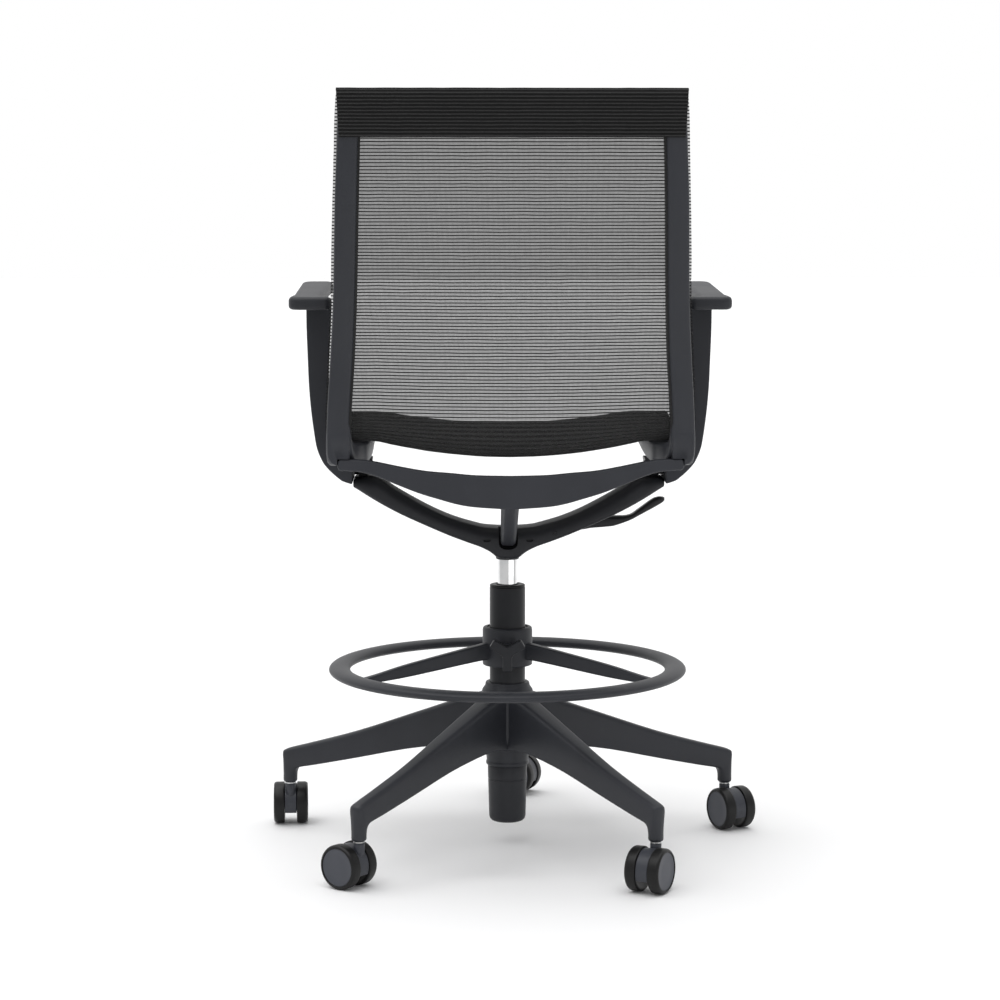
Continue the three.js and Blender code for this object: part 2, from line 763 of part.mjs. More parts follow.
// ---------- mesh sling ----------
// Middle line of the fabric: length so far is worked out, then Y, Z, half width, sag.
const backLine = [
  [-283.9, 983, 221.5, 0],
  [-287.3, 1012, 223, 0],
  [-289.4, 1034, 224, 0],
  [-288.2, 1041, 224.5, 0],
  [-284, 1044.4, 225, 0],
  [-277, 1044.8, 225.5, 0],
  [-271.6, 1041, 226, 0],
  [-269.6, 1034, 226.5, 0],
  [-266.4, 1000, 228, 0],
  [-261.8, 967, 229, 0],
  [-254, 900, 231.5, 0],
  [-238.6, 839, 234, 1],
  [-223.2, 778, 236, 3],
  [-203.8, 700, 241, 7],
  [-196.6, 660, 243.5, 11],
  [-194.6, 646, 244, 12.5],
];
const seatLine = [
  [-194.4, 644.6, 244, 12.5],
  [-189.2, 612, 245.5, 17],
  [-182.2, 596.5, 244.5, 20],
  [-170, 587.6, 242, 22],
  [-150, 585.2, 237, 22.5],
  [-130, 585.2, 236.4, 22.5],
  [-60, 586, 236.4, 22],
  [0, 587.4, 237, 21],
  [60, 589.2, 237.6, 20],
  [120, 592.4, 238.4, 19],
  [180, 597, 239, 17.5],
  [212, 597.4, 239, 17],
  [240, 594.6, 238.4, 16.5],
  [256, 587.6, 237.4, 16],
  [268, 577, 236, 15],
  [275.4, 564, 234.8, 14],
];

// Places across the fabric, in half widths: the outer two lie on the frame.
const acrossPlaces = [-1, -0.79, -0.5, -0.18, 0.18, 0.5, 0.79, 1].map((place) => (place + 1) / 2);

function sling(name, line, thickness) {
  let length = 0;
  const table = line.map((row, i) => {
    if (i > 0) length += Math.hypot(row[0] - line[i - 1][0], row[1] - line[i - 1][1]);
    return [length, ...row];
  });
  const middle = (u, v) => {
    const s = v * length;
    const [y, z, half, sag] = [1, 2, 3, 4].map((column) => lookUp(table, s, column));
    const ahead = Math.min(s + 6, length);
    const behind = Math.max(s - 6, 0);
    const dy = lookUp(table, ahead, 1) - lookUp(table, behind, 1);
    const dz = lookUp(table, ahead, 2) - lookUp(table, behind, 2);
    const x = (2 * u - 1) * half;
    const drop = sag * (1 - Math.min(1, Math.abs(x) / (seatRailInner - 6)) ** 2);
    const scale = drop / Math.hypot(dy, dz);
    return at(x, y + dz * scale, z - dy * scale);
  };
  part(name, skin(middle, acrossPlaces, table.map((row) => row[0] / length), thickness), meshFabric);
}

sling("back_mesh", backLine, 2);
sling("seat_mesh", seatLine, 2);

chair.position.set(columnX, columnY, 0);
chair.updateMatrixWorld(true);

export default chair;
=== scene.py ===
"""Drafting chair: star base on casters, gas column, foot ring, yoke and a mesh sling with two arms."""
import json
import math

import bmesh
import bpy
from mathutils import Matrix, Vector


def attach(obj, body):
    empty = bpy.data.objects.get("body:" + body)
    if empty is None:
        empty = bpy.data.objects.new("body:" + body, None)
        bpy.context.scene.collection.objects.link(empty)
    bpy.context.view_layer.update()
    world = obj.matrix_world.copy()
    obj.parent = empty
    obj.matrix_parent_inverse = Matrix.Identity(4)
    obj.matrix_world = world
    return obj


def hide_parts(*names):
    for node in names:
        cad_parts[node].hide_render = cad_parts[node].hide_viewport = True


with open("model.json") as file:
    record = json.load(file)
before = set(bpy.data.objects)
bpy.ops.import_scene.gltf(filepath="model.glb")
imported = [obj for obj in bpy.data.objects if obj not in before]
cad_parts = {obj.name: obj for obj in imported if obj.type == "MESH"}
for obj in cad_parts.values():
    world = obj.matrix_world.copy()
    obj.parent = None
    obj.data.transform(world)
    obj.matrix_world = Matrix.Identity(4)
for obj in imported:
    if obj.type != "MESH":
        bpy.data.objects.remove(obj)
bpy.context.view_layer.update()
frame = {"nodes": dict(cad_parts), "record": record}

# All tables below are in millimetres from the column's axis on the floor.
COLUMN = Vector((-0.0105, -0.0167, 0.0))
BASE_TURN = -1.27
LEGS = 5
BASE_RADIUS = 332.7
TRAIL = 18.0
WHEEL_RADIUS = 30.0
WEB_HALF = 8.6
WEB_RADIUS = WHEEL_RADIUS - 1.8
WEB_BOTTOM = 19.0
WHEEL_WIDTH = 15.5
CASTER_HEADINGS = (-22.8, 92.0, 140.9, 240.6, -63.1)
PIVOT_Y, PIVOT_Z = -55.0, 539.0


# ---------- camera ----------
def make_camera():
    lens = bpy.data.cameras.new("camera")
    lens.lens = 94.34
    lens.sensor_width = 36.0
    lens.clip_end = 60.0
    camera = bpy.data.objects.new("camera", lens)
    camera.location = (-0.0915, -3.6727, 0.870)
    camera.rotation_euler = (math.radians(84.037), 0.0, math.radians(-1.105))
    bpy.context.scene.collection.objects.link(camera)
    bpy.context.scene.camera = camera


make_camera()


# ---------- shader maths ----------
class Wire:
    """A number in a shader. Arithmetic on it adds Math nodes."""

    def __init__(self, finish, socket):
        self.finish = finish
        self.socket = socket

    def math(self, operation, *terms):
        return self.finish.add("ShaderNodeMath", {"operation": operation}, dict(enumerate(terms)))

    def __add__(self, other):
        return self.math("ADD", self, other)

    def __radd__(self, other):
        return self.math("ADD", other, self)

    def __sub__(self, other):
        return self.math("SUBTRACT", self, other)

    def __rsub__(self, other):
        return self.math("SUBTRACT", other, self)

    def __mul__(self, other):
        return self.math("MULTIPLY", self, other)

    def __truediv__(self, other):
        return self.math("DIVIDE", self, other)

    def part_of_one(self):
        return self.math("FRACT", self)

    def size(self):
        return self.math("ABSOLUTE", self)

    def wave(self):
        return self.math("SINE", self)

    def between(self, low, high, new_low=0.0, new_high=1.0):
        """Remaps low..high to new_low..new_high with soft ends."""
        return self.finish.add(
            "ShaderNodeMapRange",
            {"interpolation_type": "SMOOTHSTEP"},
            {"Value": self, "From Min": low, "From Max": high, "To Min": new_low, "To Max": new_high},
        )


class Finish:
    """One material, built node by node."""

    def __init__(self, name, owner=None):
        self.material = owner or bpy.data.materials.new(name)
        self.material.use_nodes = True
        self.tree = self.material.node_tree
        self.tree.nodes.clear()

    def add(self, kind, settings=None, inputs=None, out=0):
        """Adds a node: its settings first, then the values or wires of its sockets."""
        node = self.tree.nodes.new(kind)
        for key, value in (settings or {}).items():
            setattr(node, key, value)
        for key, value in (inputs or {}).items():
            if isinstance(value, Wire):
                self.tree.links.new(value.socket, node.inputs[key])
            else:
                node.inputs[key].default_value = value
        return Wire(self, node.outputs[out])

    def place(self):
        return self.add("ShaderNodeTexCoord", out="Object")

    def noise(self, scale, detail=2.0, rough=0.5, stretch=None):
        at = self.place()
        if stretch:
            at = self.add("ShaderNodeMapping", None, {"Vector": at, "Scale": stretch})
        return self.add("ShaderNodeTexNoise", None,
                        {"Vector": at, "Scale": scale, "Detail": detail, "Roughness": rough})

    def blend(self, share, first, second):
        """A colour between two others."""
        return self.add("ShaderNodeMix", {"data_type": "RGBA"},
                        {"Factor": share, "A": first, "B": second}, out=2)

    def relief(self, height, distance, strength):
        return self.add("ShaderNodeBump", None,
                        {"Height": height, "Distance": distance, "Strength": strength})

    def surface(self, **inputs):
        shader = self.add("ShaderNodeBsdfPrincipled", None,
                          {key.replace("_", " "): value for key, value in inputs.items()})
        return self.output(shader)

    def output(self, shader, kind="ShaderNodeOutputMaterial"):
        end = self.tree.nodes.new(kind)
        self.tree.links.new(shader.socket, end.inputs["Surface"])
        return self.material


def grey(level, blue=1.3, green=1.07):
    return (level, level * green, level * blue, 1.0)


def moulded_nylon(name, level, rough=0.46, grain=0.00006):
    """Glass-filled nylon from a spark-eroded mould: even grain, faint flow marks, rubbed patches."""
    f = Finish(name)
    fine = f.noise(1500.0, 3.0, 0.6)
    pebble = f.noise(620.0, 2.0, 0.5)
    flow = f.noise(9.0, 4.0, 0.6, stretch=(1.0, 1.0, 0.35))
    scuff = f.noise(46.0, 6.0, 0.7).between(0.60, 0.74)
    colour = f.blend(flow.between(0.3, 0.7), grey(level * 0.90), grey(level * 1.10))
    colour = f.blend(scuff * 0.35, colour, grey(level * 1.55))
    colour = f.blend(fine.between(0.62, 0.80) * 0.30, colour, grey(level * 1.9))
    roughness = rough + (flow - 0.5) * 0.16 + (pebble - 0.5) * 0.10 - scuff * 0.06
    normal = f.relief(pebble * 0.65 + fine * 0.35, grain, 0.7)
    return f.surface(Base_Color=colour, Roughness=roughness, Normal=normal, IOR=1.48,
                     Specular_IOR_Level=0.36)


def powder_coat(name, level):
    f = Finish(name)
    orange_peel = f.noise(420.0, 2.0, 0.4)
    speck = f.noise(2200.0, 1.0, 0.5)
    patch = f.noise(14.0, 3.0, 0.6)
    colour = f.blend(patch.between(0.35, 0.65), grey(level * 0.9), grey(level * 1.12))
    colour = f.blend(speck.between(0.66, 0.78) * 0.4, colour, grey(level * 2.2))
    roughness = 0.40 + (patch - 0.5) * 0.14 + (speck - 0.5) * 0.08
    return f.surface(Base_Color=colour, Roughness=roughness, IOR=1.5, Specular_IOR_Level=0.3,
                     Normal=f.relief(orange_peel, 0.00005, 0.6))


def plated_chrome(name):
    f = Finish(name)
    ground = f.noise(60.0, 5.0, 0.7, stretch=(1.0, 1.0, 34.0))
    smear = f.noise(34.0, 4.0, 0.6)
    colour = f.blend(smear.between(0.35, 0.75), (0.80, 0.80, 0.80, 1.0), (0.66, 0.665, 0.67, 1.0))
    roughness = 0.07 + (ground - 0.5) * 0.05 + smear.between(0.55, 0.8) * 0.05
    return f.surface(Base_Color=colour, Metallic=1.0, Roughness=roughness,
                     Normal=f.relief(ground, 0.00001, 0.35))


def turned_steel(name):
    f = Finish(name)
    rings = f.noise(80.0, 4.0, 0.6, stretch=(1.0, 1.0, 26.0))
    oil = f.noise(30.0, 3.0, 0.6)
    colour = f.blend(oil.between(0.4, 0.7), (0.50, 0.505, 0.51, 1.0), (0.36, 0.36, 0.355, 1.0))
    roughness = 0.26 + (rings - 0.5) * 0.18 + oil.between(0.5, 0.8) * 0.12
    return f.surface(Base_Color=colour, Metallic=1.0, Roughness=roughness,
                     Normal=f.relief(rings, 0.00002, 0.5))


def moulded_rubber(name, level):
    """Dark elastomer with a little dust where it rolls and rubs."""
    f = Finish(name)
    fine = f.noise(1100.0, 3.0, 0.6)
    dust = f.noise(55.0, 6.0, 0.75)
    colour = f.blend(dust.between(0.52, 0.8) * 0.4, grey(level, 1.0, 1.0), grey(level * 3.0, 0.95, 1.0))
    roughness = 0.42 + (dust - 0.5) * 0.25 + (fine - 0.5) * 0.1
    return f.surface(Base_Color=colour, Roughness=roughness, IOR=1.5, Specular_IOR_Level=0.3,
                     Normal=f.relief(fine, 0.00005, 0.5))


def knit_yarn(name, level):
    """The raised ribs: twisted polyester yarn, so short slanting filaments and a dull sheen."""
    f = Finish(name)
    filament = f.noise(900.0, 3.0, 0.6, stretch=(0.35, 1.0, 2.4))
    batch = f.noise(7.0, 3.0, 0.6)
    colour = f.blend(filament.between(0.35, 0.72), grey(level * 0.72, 1.0, 1.0), grey(level * 1.45, 1.0, 1.0))
    colour = f.blend(batch.between(0.35, 0.7) * 0.4, colour, grey(level * 1.25, 1.0, 1.0))
    return f.surface(Base_Color=colour, Roughness=0.7 + (filament - 0.5) * 0.2, IOR=1.45,
                     Specular_IOR_Level=0.25, Sheen_Weight=0.06, Sheen_Roughness=0.5,
                     Normal=f.relief(filament, 0.00012, 0.8))


def open_net(name, level, rib_pitch, wrap_end, openness):
    """The net between the ribs: fine upright monofilaments with gaps, doubled at the head."""
    f = Finish(name)
    cloth = f.add("ShaderNodeUVMap", {"uv_map": "cloth"})
    split = f.add("ShaderNodeSeparateXYZ", None, {"Vector": cloth}, out="X")
    split_node = split.socket.node
    across, along = split, Wire(f, split_node.outputs["Y"])
    uneven = f.noise(130.0, 3.0, 0.6)
    thread = (across * (2.0 * math.pi / THREAD_PITCH)).wave() * 0.5 + 0.5
    course = ((along / rib_pitch).part_of_one() - 0.5).size() * 2.0
    near_rib = course.between(0.55, 1.0)
    doubled = 1.0 - along.between(wrap_end - 0.004, wrap_end)
    cover = (1.0 - openness) + (thread - 0.5) * 0.20 + near_rib * 0.22 + (uneven - 0.5) * 0.10
    fringe = across.size().between(FRINGE_FROM, FRINGE_TO) * (1.0 - doubled)
    cover = (cover + doubled * 0.8) * (1.0 - fringe * 0.35)
    colour = f.blend(thread, grey(level * 0.8, 1.0, 1.0), grey(level * 1.25, 1.0, 1.0))
    alpha = f.add("ShaderNodeClamp", None, {"Value": cover, "Min": 0.04, "Max": 1.0})
    return f.surface(Base_Color=colour, Roughness=0.7 + (uneven - 0.5) * 0.2, Alpha=alpha,
                     Normal=f.relief(thread, 0.0001, 0.6), IOR=1.45, Specular_IOR_Level=0.15)


nylon = moulded_nylon("charcoal_nylon", 0.022)
frame_nylon = moulded_nylon("frame_nylon", 0.026)
dark_nylon = moulded_nylon("dark_nylon", 0.013, 0.5)
# Painted shade: the base's nylon made darker for the column boot, which stands in the seat's shade.
boot_nylon_painted_shade = moulded_nylon("boot_nylon_painted_shade", 0.015)
lever_nylon = moulded_nylon("lever_nylon", 0.007, 0.42)
pad_skin = moulded_nylon("arm_pad_skin", 0.021, 0.52, 0.00009)
cap_plastic = moulded_nylon("wheel_cap_plastic", 0.052, 0.42, 0.00004)
web_plastic = moulded_nylon("caster_web_plastic", 0.038, 0.40, 0.00004)
tube_paint = powder_coat("column_paint", 0.009)
bracket_paint = powder_coat("bracket_paint", 0.012)
chrome = plated_chrome("plated_chrome")
steel = turned_steel("turned_steel")
tread = moulded_rubber("wheel_tread", 0.0035)
rubber = moulded_rubber("black_rubber", 0.006)

# Along and across the cloth, in metres.
RIB_PITCH = 0.0045
WRAP_END = 0.078
THREAD_PITCH = 0.0016
CLOTH_HALF = 0.232
FRINGE_FROM, FRINGE_TO = 0.2284, 0.2296
rib_yarn = knit_yarn("rib_yarn", 0.027)
net = open_net("open_net", 0.010, RIB_PITCH, WRAP_END, 0.40)


# ---------- building ----------
def to_metres(point):
    return Vector(point) * 0.001 + COLUMN


def mesh_piece(name, points, faces, material, place=None, sharp=38.0):
    """A mesh from points in millimetres, smooth but for its sharp edges."""
    place = place or Matrix.Identity(4)
    mesh = bpy.data.meshes.new(name)
    mesh.from_pydata([to_metres(place @ Vector(p)) for p in points], [], faces)
    work = bmesh.new()
    work.from_mesh(mesh)
    bmesh.ops.remove_doubles(work, verts=work.verts, dist=1e-6)
    bmesh.ops.dissolve_degenerate(work, dist=1e-7, edges=work.edges)
    bmesh.ops.recalc_face_normals(work, faces=work.faces)
    work.to_mesh(mesh)
    work.free()
    mesh.shade_smooth()
    mesh.set_sharp_from_angle(angle=math.radians(sharp))
    mesh.materials.append(material)
    piece = bpy.data.objects.new(name, mesh)
    bpy.context.scene.collection.objects.link(piece)
    return piece


def joined(name, pieces):
    """One object from several shells; their materials stay in their own slots."""
    work = bmesh.new()
    slots = []
    for piece in pieces:
        part = bpy.data.meshes.new_from_object(
            piece.evaluated_get(bpy.context.evaluated_depsgraph_get()))
        first = len(work.faces)
        work.from_mesh(part)
        work.faces.ensure_lookup_table()
        for face in work.faces[first:]:
            own = part.materials[face.material_index]
            if own not in slots:
                slots.append(own)
            face.material_index = slots.index(own)
        bpy.data.objects.remove(piece)
    mesh = bpy.data.meshes.new(name)
    work.to_mesh(mesh)
    work.free()
    for own in slots:
        mesh.materials.append(own)
    result = bpy.data.objects.new(name, mesh)
    bpy.context.scene.collection.objects.link(result)
    return result


def round_edges(piece, width, segments=3, angle=40.0):
    bevel = piece.modifiers.new("round_edges", "BEVEL")
    bevel.width = width * 0.001
    bevel.segments = segments
    bevel.limit_method = "ANGLE"
    bevel.angle_limit = math.radians(angle)
    bevel.harden_normals = True
    return piece


def settled(piece):
    """The piece with its modifiers made real."""
    graph = bpy.context.evaluated_depsgraph_get()
    mesh = bpy.data.meshes.new_from_object(piece.evaluated_get(graph))
    piece.modifiers.clear()
    piece.data = mesh
    return piece


def cut_out(piece, cutters):
    for cutter in cutters:
        hole = piece.modifiers.new("cut", "BOOLEAN")
        hole.operation = "DIFFERENCE"
        hole.solver = "EXACT"
        hole.object = cutter
    settled(piece)
    for cutter in cutters:
        bpy.data.objects.remove(cutter)
    return piece


def stand_for(piece, body, nodes):
    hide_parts(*nodes)
    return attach(piece, body)


def turned(name, profile, material, segments=72, place=None, sharp=38.0):
    """Turns [radius, height] pairs about the Z axis; a closed profile makes a ring."""
    points, faces = [], []
    closed = profile[0] == profile[-1]
    rows = profile[:-1] if closed else profile
    for radius, height in rows:
        for k in range(segments):
            t = 2.0 * math.pi * k / segments
            points.append((radius * math.cos(t), radius * math.sin(t), height))
    count = len(rows)
    for i in range(count if closed else count - 1):
        low, high = i * segments, ((i + 1) % count) * segments
        for k in range(segments):
            k2 = (k + 1) % segments
            faces.append((low + k, low + k2, high + k2, high + k))
    return mesh_piece(name, points, faces, material, place, sharp)


def smooth_rows(rows, steps):
    """A table with extra rows on a smooth curve through the given ones."""
    made = []
    for i in range(len(rows) - 1):
        before, here = rows[max(i - 1, 0)], rows[i]
        after, beyond = rows[i + 1], rows[min(i + 2, len(rows) - 1)]
        for k in range(steps):
            t = k / steps
            row = []
            for a, b, c, d in zip(before, here, after, beyond):
                row.append(0.5 * (2 * b + (c - a) * t + (2 * a - 5 * b + 4 * c - d) * t * t
                                  + (3 * b - a - 3 * c + d) * t ** 3))
            made.append(tuple(row))
    made.append(tuple(rows[-1]))
    return made


def loft(name, sections, material, place=None, sharp=50.0):
    count = len(sections[0])
    points = [p for section in sections for p in section]
    faces = []
    for s in range(len(sections) - 1):
        for i in range(count):
            j = (i + 1) % count
            faces.append((s * count + i, s * count + j, (s + 1) * count + j, (s + 1) * count + i))
    faces.append(tuple(range(count)))
    faces.append(tuple((len(sections) - 1) * count + i for i in reversed(range(count))))
    return mesh_piece(name, points, faces, material, place, sharp)


def rounded_section(half, low, high, soft_low, soft_high, corner=5):
    """A rounded rectangle, from low to high and half either side, as (side, up) pairs."""
    loop = []
    corners = (
        (half - soft_low, low + soft_low, soft_low, -90.0),
        (half - soft_high, high - soft_high, soft_high, 0.0),
        (soft_high - half, high - soft_high, soft_high, 90.0),
        (soft_low - half, low + soft_low, soft_low, 180.0),
    )
    for side, up, radius, start in corners:
        for k in range(corner):
            t = math.radians(start + 90.0 * k / (corner - 1))
            loop.append((side + radius * math.cos(t), up + radius * math.sin(t)))
    return loop


def prism(name, first, last, material, place=None, sharp=38.0):
    """Joins two equal outlines, given as points, by one wall."""
    n = len(first)
    faces = [tuple(range(n)), tuple(reversed(range(n, 2 * n)))]
    faces += [(i, (i + 1) % n, n + (i + 1) % n, n + i) for i in range(n)]
    return mesh_piece(name, first + last, faces, material, place, sharp)


def plate(name, loop, back, front, material, place=None, sharp=40.0):
    """An outline in X and Z given thickness from back to front along Y."""
    first, last = [[(x, y, z) for x, z in loop] for y in (back, front)]
    return prism(name, first, last, material, place, sharp)


def block(name, x0, x1, y0, y1, z0, z1, material):
    return plate(name, [(x0, z0), (x1, z0), (x1, z1), (x0, z1)], y0, y1, material)


def rod(name, start, end, radius, material, segments=32):
    start, end = Vector(start), Vector(end)
    along = end - start
    turn = along.to_track_quat("Z", "Y").to_matrix().to_4x4()
    place = Matrix.Translation(start) @ turn
    length = along.length
    return turned(name, [(0.0, 0.0), (radius, 0.0), (radius, length), (0.0, length)],
                  material, segments, place)


def turn_z(degrees):
    return Matrix.Rotation(math.radians(degrees), 4, "Z")


def arc_rows(centre, radius, start, end, steps):
    rows = []
    for k in range(steps + 1):
        t = math.radians(start + (end - start) * k / steps)
        rows.append((centre[0] + radius * math.cos(t), centre[1] + radius * math.sin(t)))
    return rows


# ---------- star base ----------
# Bottom edge (radius, height), top edge (radius, height), half width, bottom and top softness.
LEG_ROWS = [
    (18, 137, 18, 219, 23, 3, 7),
    (38, 138.5, 38, 214, 18.4, 3, 6.5),
    (60, 139, 60, 206.8, 16.6, 2.6, 6.5),
    (90, 136, 90, 196, 15.6, 2.6, 6.5),
    (150, 126, 150, 174, 13.8, 2.6, 6.5),
    (226, 108, 226, 146.4, 12, 2.6, 6.2),
    (288, 94, 292, 126.4, 11, 2.8, 6),
    (312, 89, 326, 116.8, 10.6, 3.2, 6),
    (319.4, 86.4, 338.6, 112.6, 10.3, 4.2, 6),
    (322, 82.6, 342.3, 108.8, 10.1, 6.5, 7.5),
    (322.6, 77, 342.8, 98, 10, 9.6, 9.6),
    (322.7, 71, 342.7, 78, 10, 9.9, 9.9),
    (322.7, 67, 342.7, 67, 10, 9.95, 9.95),
    (324.4, 65.1, 341, 65.1, 8.3, 8.2, 8.2),
]


def leg(index):
    sections = []
    for rb, zb, rt, zt, half, soft_low, soft_high in smooth_rows(LEG_ROWS, 3):
        low, high = Vector((rb, 0, zb)), Vector((rt, 0, zt))
        span = (high - low).length
        up = (high - low) / span
        loop = rounded_section(half, 0.0, span, min(soft_low, half * 0.98, span * 0.49),
                               min(soft_high, half * 0.98, span * 0.49))
        sections.append([low + up * v + Vector((0, u, 0)) for u, v in loop])
    place = turn_z(90.0 + 72.0 * index + BASE_TURN)
    return loft(f"leg_{index}", sections, nylon, place)


def star_base():
    hub = turned("hub", [
        (25.5, 112.5), (28.9, 112.5), (29.9, 113.4), (30.3, 115), (30.2, 117.2), (29.5, 118.2),
        (29.4, 119.4), (30.4, 130), (31.3, 138), (33.6, 142), (35.4, 148), (36.3, 156),
        (36.3, 212), (36.2, 217), (35.4, 220), (33.4, 222.8), (31.5, 226), (30.8, 229.6),
        (30, 230.8), (28.8, 231), (25.5, 231), (25.5, 112.5),
    ], nylon, 96, turn_z(BASE_TURN))
    base = joined("star_base_moulding", [hub] + [leg(k) for k in range(LEGS)])
    stand_for(base, "base", ["star_base"])


# ---------- column ----------
def column():
    tube = turned("column_tube_painted", [
        (22.4, 60), (24.4, 60), (25, 60.6), (25, 364.6), (24.6, 365.7), (24, 366), (22.4, 366),
        (22.4, 60),
    ], tube_paint, 96)
    stand_for(tube, "base", ["column_tube"])
    bush = turned("guide_bush_flanged", [
        (14.3, 262), (22.1, 262), (22.1, 366.3), (24.4, 366.3), (24.8, 366.8), (24.8, 368.2),
        (24.2, 369), (23.4, 369.4), (17.6, 369.4), (16.4, 368.8), (15.6, 367.4), (14.3, 367),
        (14.3, 262),
    ], rubber, 96)
    stand_for(bush, "base", ["guide_bush"])
    # The boot's darker nylon is painted shade from the seat above.
    boot = turned("column_boot_moulding", [
        (0, 31), (17, 31), (20, 31.3), (22.6, 32.4), (24.6, 34.6), (25.6, 37.4), (25.9, 40),
        (27.3, 90), (27.4, 91), (26.9, 91.6), (26.9, 92.6), (27.5, 93.2), (27.8, 111.4),
        (27.4, 112), (25.4, 112), (25.4, 59.6), (22, 59.6), (22, 36), (0, 36),
    ], boot_nylon_painted_shade, 96)
    stand_for(boot, "base", ["column_boot"])
    cylinder = turned("gas_cylinder_plated", [
        (5.8, 140), (13.4, 140), (14, 140.6), (14, 404), (13.3, 430.6), (12.9, 431), (3.9, 431),
        (3.9, 418), (0, 418), (0, 410), (11.8, 410), (11.8, 146), (5.8, 146), (5.8, 140),
    ], chrome, 96)
    stand_for(cylinder, "lift", ["gas_cylinder"])


# ---------- foot ring ----------
SPOKE_ROWS = [
    (28, 264, 288.4, 8.4), (44, 264, 286.6, 7.2), (80, 260, 281, 6.4), (160, 250.8, 268, 6.1),
    (205, 247.4, 258.6, 6.4), (226, 246, 254.6, 7.4), (234, 246.4, 253.6, 7.6),
]


HOOP_RADIUS, HOOP_Z = 236.6, 250
HOOP_HALF_WIDTH, HOOP_HALF_HEIGHT, HOOP_STEPS = 15, 7.2, 28
KNOB_Z = 280.5


def foot_ring():
    section = []
    for k in range(HOOP_STEPS):
        t = 2.0 * math.pi * k / HOOP_STEPS
        section.append((HOOP_RADIUS + HOOP_HALF_WIDTH * math.cos(t), HOOP_Z + HOOP_HALF_HEIGHT * math.sin(t)))
    section.append(section[0])
    turn = turn_z(BASE_TURN)
    shells = [turned("hoop", section, nylon, 192, turn)]
    shells.append(turned("ring_hub", [
        (29, 255), (33.4, 255), (34.6, 255.8), (35, 257), (35, 266), (35, 304.6), (34.4, 307.6),
        (33, 309), (31, 309.4), (29, 309), (29, 255),
    ], nylon, 96, turn))
    for angle in (90, 210, 330):
        sections = []
        for radius, low, high, half in smooth_rows(SPOKE_ROWS, 4):
            soft = min(3.2, half * 0.6, (high - low) * 0.4)
            loop = rounded_section(half, low, high, soft, soft)
            sections.append([(radius, u, v) for u, v in loop])
        shells.append(loft("spoke", sections, nylon, turn_z(angle + BASE_TURN)))
    boss = turned("knob_boss", [
        (0, 0), (12.4, 0), (11, 3), (10.4, 8), (10, 12.4), (9.4, 13), (5, 13), (4.5, 12), (4.5, 6),
        (0, 6),
    ], nylon, 48, turn @ Matrix.Translation((0, -30, KNOB_Z)) @ Matrix.Rotation(math.pi / 2, 4, "X"))
    shells.append(boss)
    ring = joined("foot_ring_casting", shells)
    stand_for(ring, "footring", ["foot_ring"])


def rounded_loop(corners, steps=6):
    """An outline through [x, z, radius] corners, each turned on its own radius."""
    loop = []
    for k, (x, z, radius) in enumerate(corners):
        here = Vector((x, z))
        back = (Vector(corners[k - 1][:2]) - here).normalized()
        ahead = (Vector(corners[(k + 1) % len(corners)][:2]) - here).normalized()
        half = back.angle(ahead) / 2
        reach = radius / math.tan(half)
        centre = here + (back + ahead).normalized() * (radius / math.sin(half))
        first, last = here + back * reach - centre, here + ahead * reach - centre
        for step in range(steps + 1):
            spoke = first.lerp(last, step / steps).normalized() * radius
            loop.append(tuple(centre + spoke))
    return loop


def ring_knob():
    corners = []
    for arm_turn in (-90, 30, 150):
        out = Vector((math.cos(math.radians(arm_turn)), math.sin(math.radians(arm_turn))))
        side = Vector((-out.y, out.x))
        for point, radius in ((out * 25.4 - side * 6.4, 2.6), (out * 25.4 + side * 6.4, 2.6),
                              (out * 3.7 + side * 6.4, 9.0)):
            corners.append((point.x, KNOB_Z + point.y, radius))
    knob = plate("knob_lobes", rounded_loop(corners), -63, -46, dark_nylon, sharp=60)
    knob.data.transform(Matrix.Translation(COLUMN) @ turn_z(BASE_TURN) @ Matrix.Translation(-COLUMN))
    round_edges(knob, 1.6, 3, 50)
    settled(knob)
    knob.name = "ring_knob_lobed"
    stand_for(knob, "knob", ["ring_knob"])


